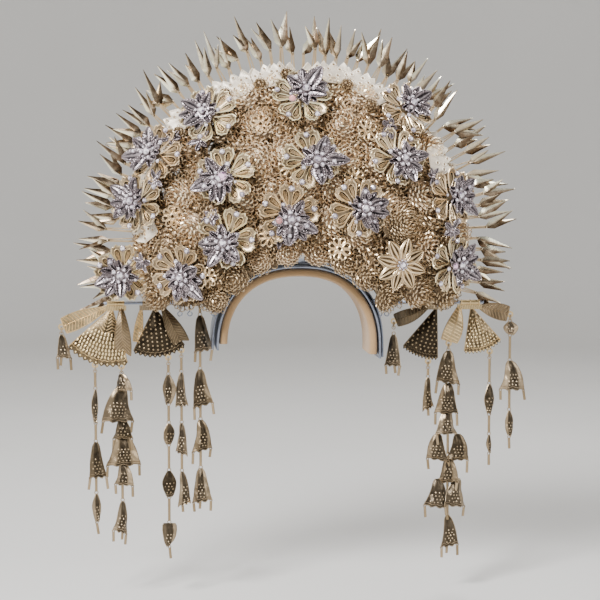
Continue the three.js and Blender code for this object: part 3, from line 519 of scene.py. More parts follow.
# Each metal's dark colour is where shade is painted; its bright colour, from the colour panel, is where
# highlights are painted
Metal = namedtuple("Metal", "dark rough patch grain metallic")
METALS = {
    "gilt": Metal((0.10, 0.06, 0.03), 0.30, 0.2, 900, 0.6),
    "cream_gilt": Metal((0.085, 0.054, 0.027), 0.28, 0.22, 900, 0.85),
    "cream": Metal((0.24, 0.16, 0.09), 0.36, 0.16, 900, 0.15),
    "pale_gilt": Metal((0.09, 0.052, 0.025), 0.22, 0.2, 500, 0.9),
    "bright_gilt": Metal((0.06, 0.04, 0.02), 0.27, 0.2, 700, 0.85),
    "worn_gilt": Metal((0.06, 0.043, 0.026), 0.32, 0.2, 700, 0.9),
    "old_gilt": Metal((0.020, 0.015, 0.010), 0.32, 0.12, 700, 0.9),
    "silver": Metal((0.035, 0.032, 0.036), 0.26, 0.24, 900, 0.9),
    "zinc": Metal((0.12, 0.135, 0.18), 0.36, 0.45, 600, 1),
}

# How large the worn patches of metal, the clouds in a stone and the stains of cloth are
WEAR_SCALE = 160
CLOUD_SCALE = 700
STAIN_SCALE = 55
STONE_SHADE = np.array((0.17, 0.14, 0.19))


class Finish:
    """A material in the making: its nodes, and the sockets of its shader."""

    def __init__(self, name):
        self.material = bpy.data.materials.new(name)
        self.material.use_nodes = True
        tree = self.material.node_tree
        self.nodes, self.links = tree.nodes, tree.links
        self.shader = tree.nodes["Principled BSDF"].inputs

    def feed(self, sockets, values):
        """Set each socket to its value, or link it to the output that is given for it."""
        for name, value in values.items():
            if isinstance(value, bpy.types.NodeSocket):
                self.links.new(value, sockets[name])
            else:
                sockets[name].default_value = value

    def node(self, kind, inputs, **settings):
        node = self.nodes.new(f"ShaderNode{kind}")
        for name, value in settings.items():
            setattr(node, name, value)
        self.feed(node.inputs, inputs)
        return node

    def attribute(self, name, output="Fac"):
        return self.node("Attribute", {}, attribute_name=name).outputs[output]

    def noise(self, scale):
        where = self.node("TexCoord", {}).outputs["Object"]
        return self.node("TexNoise", {"Scale": scale, "Detail": 3, "Vector": where}).outputs["Fac"]

    def spread(self, value, low, high):
        """A value from 0 to 1 brought into a range."""
        return self.node("MapRange", {"To Min": low, "To Max": high, "Value": value}).outputs["Result"]

    # Painted light and shade of each point, shifted by random patches
    def painted_light_and_wear_in_patches(self, patches, reach):
        inputs = {0: self.attribute("polish"), 1: self.spread(patches, -reach, reach)}
        return self.node("Math", inputs, operation="ADD", use_clamp=True).outputs["Value"]

    def ramp(self, value, dark, bright, middle=None):
        node = self.node("ValToRGB", {"Fac": value})
        steps = node.color_ramp.elements
        steps[0].color = (*dark, 1)
        steps[1].color = (*bright, 1)
        if middle is not None:
            steps.new(0.5).color = (*middle, 1)
        return node.outputs["Color"]

    def shaded(self, colour, **inputs):
        """A colour whose hue, saturation or value is changed."""
        return self.node("HueSaturation", {"Color": colour, **inputs}).outputs["Color"]

    def bump(self, height, strength, distance):
        inputs = {"Strength": strength, "Distance": distance, "Height": height}
        return self.node("Bump", inputs).outputs["Normal"]


def metal_material(name, metal, bright):
    """Old plated metal: painted shade where it is sunk and painted highlights where it stands out, in uneven
    patches of wear.
    """
    finish = Finish(name)
    dark, bright = np.array(metal.dark), np.array(bright)
    patches, tint = finish.noise(WEAR_SCALE), finish.attribute("tint")
    # painted light and shade, in uneven patches of wear
    worn = finish.painted_light_and_wear_in_patches(patches, metal.patch)
    colour = finish.ramp(worn, dark, bright, 0.62 * bright + 0.38 * dark)
    value, saturation = finish.spread(tint, 0.62, 1.3), finish.spread(tint, 1.12, 0.9)
    finish.feed(finish.shader, {
        "Base Color": finish.shaded(colour, Value=value, Saturation=saturation),
        "Metallic": metal.metallic,
        "Roughness": finish.spread(patches, metal.rough - 0.1, metal.rough + 0.16),
        "Normal": finish.bump(finish.noise(metal.grain), 0.25, 0.0004),
    })
    return finish.material


def stone_material(name, colour):
    """Foil-backed glass: a dull lilac shade painted under some facets and a bright flash painted under
    others.
    """
    finish = Finish(name)
    flash = finish.painted_light_and_wear_in_patches(finish.noise(CLOUD_SCALE), 0.2)
    finish.feed(finish.shader, {
        "Base Color": finish.ramp(flash, STONE_SHADE * colour, colour),
        "Metallic": 0.15,
        "Roughness": 0.05,
        "IOR": 1.5,
    })
    return finish.material


def cloth_material(name, colour):
    """Plain-woven cotton, browner along the worn edges, and darker on the inner face where shade is painted.
    """
    finish = Finish(name)
    thread = {"Scale": 260, "Distortion": 0.6, "Detail": 1, "Vector": finish.attribute("weave", "Vector")}
    threads = [finish.node("TexWave", thread, bands_direction=way).outputs["Fac"] for way in ("X", "Y")]
    weave = finish.node("Math", dict(enumerate(threads)), operation="MULTIPLY").outputs["Value"]
    stained_and_shaded = finish.painted_light_and_wear_in_patches(finish.noise(STAIN_SCALE), 0.22)
    brown = finish.ramp(stained_and_shaded, 0.45 * np.array(colour), colour)
    finish.feed(finish.shader, {
        "Base Color": finish.shaded(brown, Value=finish.spread(weave, 0.86, 1.1)),
        "Normal": finish.bump(weave, 0.5, 0.0003),
        "Roughness": 0.92,
        "Sheen Weight": 0.25,
        "Sheen Roughness": 0.5,
    })
    return finish.material


def finish_material(finish):
    name = f"{finish}_finish"
    if name in bpy.data.materials:
        return bpy.data.materials[name]
    colour = getattr(bpy.context.scene.crown_colours, finish)
    if finish in METALS:
        return metal_material(name, METALS[finish], colour)
    return cloth_material(name, colour) if finish == "cloth" else stone_material(name, colour)


# Places on the crown: the headband's arch, the fan-shaped face and the frame behind it

def arch_point(offset, turn):
    power = 2 / BAND.squareness
    c, s = np.cos(turn), np.maximum(0, np.sin(turn))
    x = (BAND.half_width + offset) * np.sign(c) * np.abs(c) ** power
    return x, ARCH_CENTRE + (BAND.rise + offset) * s**power


def arch_turn(offset, z):
    share = max(0, z - ARCH_CENTRE) / (BAND.rise + offset)
    return math.asin(share ** (BAND.squareness / 2))


def arch_line(offset, part, steps):
    """Places along an arched strip, from the right foot to the left one."""
    first, last = arch_turn(offset, part.right), math.pi - arch_turn(offset, part.left)
    x, z = arch_point(offset, np.linspace(first, last, steps + 1))
    line = [(x[0], part.right)] if part.right < ARCH_CENTRE else []
    line += list(zip(x, z))
    if part.left < ARCH_CENTRE:
        line.append((x[-1], part.left))
    return np.array(line)


def around(x, z, radius, turn):
    return x + radius * math.cos(turn), z + radius * math.sin(turn)


def from_arch(radius, turn):
    return around(0, ARCH_CENTRE, radius, turn)


def on_fan(radius, turn):
    return around(FAN.x, FAN.z, radius, turn)


def reach_to_fan(turn, fan_radius):
    """How far from the arch's centre a ray meets a circle about the fan's centre."""
    rise = FAN.z - ARCH_CENTRE
    along = FAN.x * math.cos(turn) + rise * math.sin(turn)
    return along + math.sqrt(along**2 - FAN.x**2 - rise**2 + fan_radius**2)


def dome_y(x, z):
    share = min(1, math.hypot(x - FAN.x, z - FAN.z) / FAN.reach)
    return DOME.rim_y - DOME.depth * (1 - share**DOME.power)


def dome_normal(x, z):
    step = 0.5
    slope_x = (dome_y(x + step, z) - dome_y(x - step, z)) / (2 * step)
    slope_z = (dome_y(x, z + step) - dome_y(x, z - step)) / (2 * step)
    return Vector((slope_x, -1, slope_z)).normalized()


def facing(x, z, lift=0.0):
    """The axes and the origin of a flower that stands on the dome."""
    normal = dome_normal(x, z)
    basis = np.array(Vector((0, 0, 1)).rotation_difference(normal).to_matrix())
    return basis, np.array((x, dome_y(x, z), z)) + lift * np.array(normal)


def spoke_root(turn):
    tangent = abs(math.tan(turn)) ** (BAND.squareness / 2)
    there = math.atan(tangent) if turn <= math.pi / 2 else math.pi - math.atan(tangent)
    return arch_point(RAIL_MIDDLE, there)


def frame_y(x, z):
    turn = math.atan2(z - ARCH_CENTRE, x)
    root_x, root_z = spoke_root(turn)
    start = math.hypot(root_x, root_z - ARCH_CENTRE)
    share = (math.hypot(x, z - ARCH_CENTRE) - start) / (reach_to_fan(turn, FAN.rim) - start)
    return FRAME.hoop_y + (FRAME.rim_y - FRAME.hoop_y) * share


def strip_y(x, z):
    return frame_y(x, z) - FRAME.wire - STRIP.clear - STRIP.thickness / 2


def tier_start(radius):
    """The least turn that a tier has, clear of the side bars and of the rim."""
    lowest = math.asin((TIER.lowest - ARCH_CENTRE) / radius)
    rise, fan_radius = FAN.z - ARCH_CENTRE, FAN.rim - TIER.clear_of_rim
    cosine = (radius**2 + rise**2 - fan_radius**2) / (2 * radius * rise)
    return max(lowest, math.pi / 2 - math.acos(min(1, cosine)))


def rim_places(steps):
    """Places along the rim, from its right end to its left one."""
    turns = np.radians(np.linspace(FRAME.rim_end, 180 - FRAME.rim_end, steps + 1))
    return [on_fan(FAN.rim, turn) for turn in turns]


Seat = namedtuple("Seat", "x y z tier")


def flower_seat(x, z):
    """Where a flower's stem stands: the nearest place of the nearest tier."""
    turn = math.atan2(z - ARCH_CENTRE, x)
    seats = []
    for index in range(TIER.count):
        radius = TIER.first + TIER.pitch * index
        start = tier_start(radius)
        seat_x, seat_z = from_arch(radius, min(max(turn, start), math.pi - start))
        seats.append(Seat(seat_x, strip_y(seat_x, seat_z), seat_z, index))
    fan_turn = math.atan2(z - FAN.z, x - FAN.x)
    if fan_turn < -math.pi / 2:
        fan_turn += 2 * math.pi
    low, high = math.radians(FRAME.rim_end), math.radians(180 - FRAME.rim_end)
    rim_x, rim_z = on_fan(FAN.rim, min(max(fan_turn, low), high))
    seats.append(Seat(rim_x, RIM_STRIP_Y, rim_z, TIER.count))
    return min(seats, key=lambda seat: math.hypot(seat.x - x, seat.z - z))


def has_room(place):
    """Whether a rosette stands clear of the large flowers and of the feet of their stems."""
    x, z = place
    feet = [flower_seat(flower.x, flower.z) for flower in ALL_FLOWERS]
    return all(math.hypot(x - spot.x, z - spot.z) > FLOWER.room for spot in (*ALL_FLOWERS, *feet))


Tier = namedtuple("Tier", "places strip y")


def tiers():
    """The six tiers: rosette places, the line of the strip, and how far forward the strip lies."""
    found = []
    for index in range(TIER.count):
        radius = TIER.first + TIER.pitch * index
        start = tier_start(radius)
        count = round(radius * (math.pi - 2 * start) / HEAD.pitch)
        places, line = ([from_arch(radius, turn) for turn in np.linspace(start, math.pi - start, steps + 1)]
                        for steps in (count, 4 * count))
        found.append(Tier(list(filter(has_room, places)), line, strip_y))
    count = round(FAN.rim * math.radians(180 - 2 * FRAME.rim_end) / HEAD.pitch)
    places = list(filter(has_room, rim_places(count)))
    found.append(Tier(places, rim_places(FRAME.rim_steps), lambda x, z: RIM_STRIP_Y))
    return found


def strip_band(line, y):
    """A flat strip that faces forward."""
    path = [(x, y(x, z), z) for x, z in line]
    return sweep(path, STRIP.width, STRIP.thickness, sides=8, up=(0, -1, 0), polish=0.35)


# The headband and the wire frame

# The pad: how square its section is, how the cloth drags and sags, where it is browned by wear, and how dark
# the painted shade on its inner face is
PAD = SimpleNamespace(
    side_power=0.34, face_power=0.62, drag=0.18, sag=0.6, worn_from=0.93, worn_run=0.07,
    clean=0.92, worn_brown=0.16, inner_shade=0.12)


def headband_cover():
    """The padded arch: a rounded section along the arch, with the drag of the cloth round the bend."""
    sides, steps = 36, 140
    angles = full_turn(sides)
    c, s = np.cos(angles), np.sin(angles)
    depth = BAND.depth / 2 * np.sign(c) * np.abs(c) ** PAD.side_power
    out = BAND.thickness / 2 * (1 + np.sign(s) * np.abs(s) ** PAD.face_power)
    lines = np.stack([arch_line(t, BAND, steps) for t in out], axis=1)
    count = lines.shape[0]
    y = np.broadcast_to(depth, (count, sides))
    step = np.arange(count)[:, None]
    drag = PAD.drag * np.sin(step * 0.9) * np.cos(y * 0.21 + step * 0.35)
    points = np.stack([lines[..., 0], y * (1 - 0.004 * drag), lines[..., 1] - np.abs(drag) * PAD.sag], -1)
    run = np.concatenate([[0], np.cumsum(np.linalg.norm(np.diff(lines[:, 0], axis=0), axis=1))])
    weave = np.stack(np.broadcast_arrays(run[:, None], (depth + 1.6 * out)[None, :], 0.0), -1).reshape(-1, 3)
    edge = np.clip((np.abs(depth) / (BAND.depth / 2) - PAD.worn_from) / PAD.worn_run, 0, 1)
    inside = out < 0.2 * BAND.thickness
    # browned by wear along the edges, and painted shade on the inner face
    polish = np.tile(PAD.clean - PAD.worn_brown * edge - PAD.inner_shade * inside, count)
    return make_shape(points, tube_faces(count, sides, False), polish), weave * MM


def arched_strip(part):
    """A thin metal strip with softened edges round the headband, with its feet where the hoop's are."""
    half, middle, thick = part.depth / 2, (part.inner + part.outer) / 2, (part.outer - part.inner) / 2
    section = [(half, -0.4), (half, 0.4), (half - 0.6, 1), (0.6 - half, 1),
               (-half, 0.4), (-half, -0.4), (0.6 - half, -1), (half - 0.6, -1)]
    lines = [arch_line(middle + share * thick, HOOP, 120) for _, share in section]
    rings = np.stack([np.column_stack([line[:, 0], np.full(len(line), y), line[:, 1]])
                      for line, (y, _) in zip(lines, section)], axis=1)
    return make_shape(rings, tube_faces(len(rings), len(section), False), 0.55)


def round_wire(path, radius, sides=8):
    """A wire of the frame that doesn't run along Y."""
    return sweep(path, 2 * radius, sides=sides, up=(0, 1, 0))


def rail_posts():
    for turn in np.radians(RAIL.posts):
        x, z = arch_point((HOOP.outer + RAIL.inner) / 2, turn)
        out = np.array((x, 0, z - ARCH_CENTRE)) / math.hypot(x, z - ARCH_CENTRE)
        lap = (RAIL.inner - HOOP.outer) / 2 + 0.8
        middle = np.array((x, 0, z))
        yield round_wire([middle - lap * out, middle + lap * out], RAIL.post_width / 2)


def frame_wires():
    """Spokes, rim and the two pairs of side bars with the short wires across them."""
    last = 180 - FRAME.first_spoke
    for turn in np.radians(np.linspace(FRAME.first_spoke, last, FRAME.spokes)):
        root_x, root_z = spoke_root(turn)
        tip_x, tip_z = from_arch(reach_to_fan(turn, FAN.rim), turn)
        yield round_wire([(root_x, FRAME.hoop_y, root_z), (tip_x, FRAME.rim_y, tip_z)], FRAME.wire)
    rim = rim_places(FRAME.rim_steps)
    rim = [(rim[0][0], BAR.right), *rim, (rim[-1][0], BAR.left)]
    yield round_wire([(x, FRAME.rim_y, z) for x, z in rim], FRAME.wire)
    for sign, z, tie in ((-1, BAR.left, BAR.ties[0]), (1, BAR.right, BAR.ties[1])):
        root = arch_point(RAIL_MIDDLE, arch_turn(RAIL_MIDDLE, z))[0]
        for y in (BAR.y, BAR.rear_y):
            yield round_wire([(sign * root, y, z), (sign * BAR.reach, y, z)], BAR.wire, 10)
        yield sweep([(tie, BAR.y, z), (tie, BAR.rear_y, z)], 2 * FRAME.wire, sides=8)


# Where the wire hooks and the crystals sit on the side bars
HOOKS = [(-118, BAR.left), (-108, BAR.left), (-84.5, BAR.left), (83, BAR.right), (90, BAR.right)]
CRYSTALS = [(-121, BAR.left), (-115, BAR.left), (150, BAR.right), (156, BAR.right)]
CRYSTAL_RADIUS = 2.6


def bar_hook(x, z):
    """A wire hook with a small eye under it, wound twice round a side bar."""
    coil_radius, eye_radius, eye_drop, wire = 1.9, 2.2, 11, 1.1
    turns, around_eye = np.linspace(0, 4 * math.pi, 26), np.linspace(0.5 * math.pi, 2.3 * math.pi, 14)
    coil = np.column_stack([0.5 * turns / math.pi, coil_radius * np.cos(turns), coil_radius * np.sin(turns)])
    drop = [(2, 1.6, -3), (2, 0.4, -7)]
    eye = np.column_stack([2 + eye_radius * np.cos(around_eye), 0 * around_eye,
                           eye_radius * np.sin(around_eye) - eye_drop])
    path = np.vstack([coil, drop, eye]) + (x, BAR.y, z)
    return sweep(path, wire, sides=6, up=(0.3, 0.6, 0.74), polish=0.7)


class CROWN_OT_headband(bpy.types.Operator):
    """Make the cloth cover of the padded headband"""
    bl_idname = "crown.headband"
    bl_label = "Headband"

    def execute(self, context):
        cover, weave = headband_cover()
        layers = [Layer(cover, "cloth", 0.5)]
        piece = make_piece("headband_cover", layers, "crown", ["headband"])
        field = piece.data.attributes.new("weave", "FLOAT_VECTOR", "POINT")
        field.data.foreach_set("vector", weave.astype(np.float32).ravel())
        return {"FINISHED"}


class CROWN_OT_frame(bpy.types.Operator):
    """Make the hoop, rail, spokes, rim and side bars"""
    bl_idname = "crown.frame"
    bl_label = "Wire frame"

    def execute(self, context):
        shapes = [arched_strip(HOOP), arched_strip(RAIL), *rail_posts(), *frame_wires()]
        shapes += [bar_hook(*place) for place in HOOKS]
        layers = [Layer(gathered(shapes), "zinc", 0.5)]
        rng = np.random.default_rng(SEED)
        for x, z in CRYSTALS:
            layers += stone_layers(CRYSTAL_RADIUS, (x, BAR.y - CRYSTAL_RADIUS, z + 1), rng)
        make_piece("wire_frame", layers, "crown", ["frame"])
        return {"FINISHED"}


# Rosettes and daisies of bent wire

GOLDEN_ANGLE = 137.5

# A rosette's petals: length and width as shares of their pitch, and sway and slope in degrees
PETAL = SimpleNamespace(length=(1.2, 1.75), width=(0.9, 1.05), sway=(-7, 7), middle_slope=56, slope_loss=42)

# How unevenly the heads stand on the dome, in millimetres, degrees and shares
UNEVEN = SimpleNamespace(lift=(-3, 2.5), tilt=(-16, 16), scale=(0.94, 1.08), tint=(-0.3, 0.4))


def loop_petal(length, width, rise, wire):
    """A petal: flat wire bent to a narrow loop along +X, rising to its tip."""
    share = np.array([0, 0.36, 0.78, 1, 0.78, 0.36, 0])
    across = np.array([-0.16, -0.46, -0.46, 0, 0.46, 0.46, 0.16]) * width
    path = np.column_stack([share * length, across, rise * share**1.5])
    # painted shade at the petal's root and a painted highlight at its tip
    return sweep(path, wire, 1.4 * wire, sides=3, polish=0.4 + 0.6 * share)


def rosette(radius, rise, petals, wire, rng):
    """A chrysanthemum head: loop petals set in a spiral over a dome painted dark as shade, with a boss in the
    middle.
    """
    foot = [(1, -2.4), (0.92 * radius, -0.8)]
    top = [(share * radius, height * rise) for share, height in ((0.78, 0.28), (0.45, 0.72), (0.1, 0.92))]
    # painted shade: the dome is dark where it shows between the petals
    dome = rounds(foot + top, 14, 0.08)
    shapes = [dome, moved(bead(min(1.7, 0.12 * radius)), offset=(0, 0, rise + 0.5))]
    pitch = radius * math.sqrt(math.pi / petals)
    for index in range(petals):
        reach = math.sqrt((index + 0.4) / petals)
        length = pitch * rng.uniform(*PETAL.length)
        petal = loop_petal(length, pitch * rng.uniform(*PETAL.width), 0.25 * length, wire)
        # painted shade: petals further out from the middle are darker
        petal = turned(petal._replace(polish=petal.polish * (1 - 0.3 * reach)), rng.uniform(*PETAL.sway))
        slope = PETAL.slope_loss * reach - PETAL.middle_slope + rng.uniform(*PETAL.sway)
        petal = turned(petal, slope, "y")
        start = 0.74 * radius * reach
        place = (start, 0, rise * (1 - (0.85 * reach + 0.1) ** 2) - 0.3)
        shapes.append(turned(moved(petal, offset=place), GOLDEN_ANGLE * index))
    return gathered(shapes)


def daisy(radius, wire, petals=8):
    """A daisy of wire drops with painted highlights round a ring, over a disc painted dark as shade."""
    drop = teardrop((0.26 * radius, 0), (radius, 0), 0.66 * radius, 10)
    path = np.column_stack([drop, 1.4 + 0.1 * drop[:, 0]])
    petal = sweep(path, 1.5 * wire, 1.6 * wire, sides=5, closed=True, polish=1)
    shapes = [turned(petal, 360 * index / petals) for index in range(petals)]
    heart = turned(torus(0.24 * radius, 0.9 * wire, 12, 6, 1), 90, "x")
    # painted shade: the disc behind the petals is dark
    back = rounds([(0.5, -1.5), (0.86 * radius, -0.2), (0.8 * radius, 0.4), (0.1 * radius, 0.7)], 16, 0.05)
    return gathered([*shapes, moved(heart, offset=(0, 0, 2)), back])


def sprig(rng):
    """A small silver flower of uneven leaves with granules in its middle."""
    shapes = []
    for index in range(SPRIG.leaves):
        length, width = SPRIG.length * rng.uniform(0.7, 1.2), SPRIG.width * rng.uniform(0.8, 1.2)
        leaf = star_petal(length, width, rng.uniform(0.8, 3))
        shapes.append(turned(leaf, 360 / SPRIG.leaves * index + rng.uniform(-14, 14)))
    shapes += [moved(bead(2.6, 8, 1), offset=(3.4 * x, 3.4 * y, 8)) for x, y in circle(1, 4)]
    return moved(gathered(shapes), offset=(0, 0, -1), scale=SPRIG.scale)


def stem(start, end, width):
    return sweep([start, end], width, sides=6, up=(0.02, 0, 1), polish=0.3)


def filler_places(taken, apart, rng):
    """Open places of the face for small rosettes, tried in a fixed random order."""
    found = []
    for _ in range(FILLER.tries):
        turn, share = rng.uniform(math.radians(-30), math.radians(210)), math.sqrt(rng.uniform(0, 1))
        x, z = on_fan((FAN.rim + 6) * share, turn)
        over_band = math.hypot(x, z - ARCH_CENTRE) > TIER.first - 3 and z > TIER.lowest
        if over_band and all(math.hypot(x - tx, z - tz) > room for tx, tz, room in (*taken, *found)):
            found.append((x, z, apart))
    return found


def on_dome(head, x, z, root, rng, finish, lift=0.0, tint=None):
    """A head on the dome, tilted and turned a little, and its stem."""
    basis, origin = facing(x, z, lift + rng.uniform(*UNEVEN.lift))
    tilt = rotation(rng.uniform(*UNEVEN.tilt), "x") @ rotation(rng.uniform(*UNEVEN.tilt), "y")
    spin = rotation(rng.uniform(0, 360))
    placed = moved(head, basis @ tilt @ spin, origin, rng.uniform(*UNEVEN.scale))
    # painted light: heads are tinted lighter the higher they stand
    if tint is None:
        tint = np.clip(HEAD.tint + HEAD.tint_rise * z + rng.uniform(*UNEVEN.tint), 0, 1)
    return [Layer(placed, finish, tint), Layer(stem(root, origin, HEAD.stem), "gilt", 0.3)]


class CROWN_OT_rosettes(bpy.types.Operator):
    """Make the six tiers of gilt rosettes with their strips and stems"""
    bl_idname = "crown.rosettes"
    bl_label = "Rosette tiers"

    def execute(self, context):
        sizes, big = context.scene.crown_sizes, LARGE_ROSETTE
        rng = np.random.default_rng(SEED)
        radius, wire, small = sizes.rosette_radius / MM, sizes.petal_wire / MM, sizes.filler_radius / MM
        heads = [rosette(radius, HEAD.rise, HEAD.petals, wire, rng) for _ in range(HEAD.kinds)]
        little = [rosette(small, FILLER.rise, FILLER.petals, wire, rng) for _ in range(FILLER.kinds)]
        plain = rosette(small, BACK_FILLER.rise, BACK_FILLER.petals, wire, rng)
        large = rosette(big.radius, big.rise, big.petals, big.wire * wire, rng)
        layers, taken = [], []
        for tier in tiers():
            rows = [Layer(strip_band(tier.strip, tier.y), "gilt", 0.3)]
            scale = 1 if layers else HEAD.lowest_tier_scale
            for x, z in tier.places:
                head = moved(heads[rng.integers(len(heads))], scale=scale)
                rows += on_dome(head, x, z, (x, tier.y(x, z), z), rng, "gilt")
                taken.append((x, z, 0.72 * radius))
            layers.append(rows)
        taken += [(flower.x, flower.z, 0.55 * radius) for flower in ALL_FLOWERS]

        def plant(head, x, z, finish, lift, tint):
            seat = flower_seat(x, z)
            layers[seat.tier] += on_dome(head, x, z, (seat.x, seat.y, seat.z), rng, finish, lift, tint)

        plant(large, big.x, big.z, "gilt", big.lift, big.tint)
        front = filler_places(taken, 1.2 * small, rng)
        behind = filler_places([(x, z, 0.8 * small) for x, z, _ in (*taken, *front)], small, rng)
        for index, (x, z, _) in enumerate(front):
            # painted light: fillers are tinted lighter the higher they stand
            tint = np.clip(rng.uniform(*FILLER.tint) + FILLER.tint_rise * z, 0, 1)
            plant(little[index % len(little)], x, z, "gilt", FILLER.lift, tint)
        # painted shade: the fillers set back are tinted dark
        for x, z, _ in behind:
            plant(plain, x, z, "gilt", BACK_FILLER.lift, rng.uniform(*BACK_FILLER.tint))
        for x, z in DAISIES:
            plant(daisy(small, wire), x, z, "cream_gilt", DAISY.lift, DAISY.tint)
        for x, z in SPRIGS:
            plant(sprig(rng), x, z, "silver", SPRIG.lift, rng.uniform(*SPRIG.tint))
        for index, rows in enumerate(layers, 1):
            make_piece(f"rosettes_{index}", rows, "crown", [f"rosette_tier_{index}"])
        return {"FINISHED"}


# Large flowers

# A heart petal along +X: its outline, how far that reaches, its drop-shaped openings and its stone
HEART_CORNERS = [
    (4, 0), (8, -3), (13.5, -7.2), (19, -10.8), (23.6, -10.2), (26.2, -6.6), (25, -2.6), (22.4, 0),
    (25, 2.6), (26.2, 6.6), (23.6, 10.2), (19, 10.8), (13.5, 7.2), (8, 3),
]
HEART_REACH = 26.2
HEART_DROP = SimpleNamespace(root=(7, 1.7), tip=(22.6, 6.5), width=8.6)
HEART_STONE = SimpleNamespace(radius=2.5, along=23.4)

# The ribs in each opening of a heart, from root to tip, spread out from the inner one by their shares
RibEnd = namedtuple("RibEnd", "along out spread lift")
HEART_RIB_ENDS = [RibEnd(10.5, 1.9, 1.6, 0.6), RibEnd(20.4, 4.2, 4.2, 2.0)]
HEART_RIB = SimpleNamespace(shares=(0.15, 0.5, 0.85), wire=0.7)

# Hearts and leaves stand at equal steps round a flower
PARTS = 5
STEP = 360 / PARTS

# The star of a flower, whose leaves are longer on the side that it leans to, and its scrolls and stones
STAR = SimpleNamespace(share=0.78, lean=0.28, tint=(0.35, 0.75))
LEAF = SimpleNamespace(
    length=(0.86, 1.14), width=(0.44, 0.58), curl=(0.8, 3), roll=(-9, 9), pitch=(-12, 6), turn=(-12, 12))
LOW_LEAF = SimpleNamespace(length=(0.74, 0.92), width=0.4, curl=1.2, drop=1.6, turn=(-9, 9))
SCROLL = SimpleNamespace(radius=2.4, wire=0.8, along=0.56, lift=9.2)
CLUSTER = SimpleNamespace(
    count=7, radius=6.6, lift=10.2, middle_lift=11.6, stone=(1.2, 2.3), shift=(-0.1, 0.1))
LEAF_STONE = SimpleNamespace(along=0.74, lift=9.6, radius=(1.3, 2.5))

# How bright the painted flash of a stone is, how far it is tilted in its collar, and how light both are
STONE = SimpleNamespace(flash=(0.55, 1.4), tilt=(-24, 24), tint=(0.35, 1), collar_tint=(0.4, 0.9))


def heart_layers(radius, angle, tint, rng):
    """A gilt heart petal: pierced sheet with a wavy rim, a dark sheet under it as painted shadow in its
    openings, ribs in its openings and a stone at its notch.
    """
    scale = radius / HEART_REACH
    outline = smooth_loop(HEART_CORNERS, 3) * scale
    root, tip = np.array(HEART_DROP.root) * scale, np.array(HEART_DROP.tip) * scale
    drops = [teardrop(root * (1, side), tip * (1, side), HEART_DROP.width * scale) for side in (-1, 1)]

    def cup(x, y):
        return 2.6 * (x / radius) ** 2 + 0.02 * y**2

    sheet = raised(pierced(outline, drops, 0.8, 0.2), cup)
    # painted shadow: a dark sheet under the openings, so they read as shaded
    shadow_sheet = moved(raised(pierced(0.94 * outline, [], 0.3, 0), cup), offset=(0.8, 0, -1.3))
    shapes = [sheet, shadow_sheet]
    wave = 1 + 0.03 * np.cos(np.arange(len(outline)) * math.pi * 0.66)
    # painted highlights on the rim and on the edges of the openings
    for line, width in ((outline * wave[:, None], 1.5), (drops[0], 1.0), (drops[1], 1.0)):
        path = np.column_stack([line, cup(*line.T) + 0.5])
        shapes.append(sweep(path, width, sides=4, closed=True, polish=1))
    for side in (-1, 1):
        for share in HEART_RIB.shares:
            ends = [(end.along, side * (end.out + end.spread * share), end.lift) for end in HEART_RIB_ENDS]
            shapes.append(sweep(np.array(ends) * scale, HEART_RIB.wire, sides=4, polish=0.6))
    notch = HEART_STONE.along * scale
    layers = [Layer(gathered(shapes), "cream_gilt", tint)]
    layers += stone_layers(HEART_STONE.radius, np.array((notch, 0, cup(notch, 0) + 1.6)), rng)
    return moved_layers(layers, rotation(angle))


def stone_layers(radius, place, rng, finish="clear_stone"):
    """A stone in its collar."""
    stone = round_stone(radius) if finish == "pink_stone" else cut_stone(radius)
    # painted flash: each stone is painted brighter or duller
    stone = stone._replace(polish=stone.polish * rng.uniform(*STONE.flash))
    tilt = rotation(rng.uniform(0, 360)) @ rotation(rng.uniform(*STONE.tilt), "x")
    collar = moved(stone_cup(radius), offset=place)
    return [Layer(moved(stone, tilt, place), finish, rng.uniform(*STONE.tint)),
            Layer(collar, "silver", rng.uniform(*STONE.collar_tint))]


def leaf_edges(place, count):
    """The two long edges of a leaf, from its root to its tip."""
    v = np.linspace(0, 1, count)
    return [np.column_stack(place(side + 0 * v, v)) for side in (0, 1)]


def edge_loop(left, right, wire, polish):
    """A wire rim round a leaf, along both its edges."""
    return sweep(np.vstack([left, right[::-1]]), wire, sides=4, closed=True, polish=polish)


def star_petal(length, width, curl):
    """A silver leaf of the upper star: pointed, cupped and deeply ribbed, with a wire rim and granules."""
    root = 3.2

    def place(u, v):
        side = 2 * u - 1
        half = width / 2 * np.sin(math.pi * (0.12 + 0.85 * v)) ** 0.8
        rise = 6.2 + 3.4 * v**1.3 + curl * side**2 * np.sin(math.pi * v)
        return root + (length - root) * v, side * half, rise

    def grooves(u, v):
        return np.cos(6 * math.pi * (u - 0.5))

    def height(u, v):
        return 0.5 * grooves(u, v) * np.sin(math.pi * (0.1 + 0.8 * v))

    left, right = leaf_edges(place, 9)
    # painted shade in the grooves and painted highlights on the ridges
    shapes = [stamped(place, 12, 7, 0.5, lambda u, v: 0.26 + 0.26 * grooves(u, v), height)]
    shapes.append(edge_loop(left, right, 0.8, 0.65))
    for index in range(2, 7):
        for edge in (left, right):
            spot = 0.7 * edge[index] + 0.15 * (left + right)[index]
            shapes.append(moved(bead(0.85, 5, 1), offset=spot + (0, 0, 0.7)))
    return gathered(shapes)


def scroll(radius, wire):
    """A flat coil of silver wire."""
    t = np.linspace(0.6, 4.6 * math.pi, 22)
    path = np.column_stack([radius * t / t[-1] * np.cos(t), radius * t / t[-1] * np.sin(t), 0.15 * t])
    return sweep(path, wire, sides=4, polish=0.75)


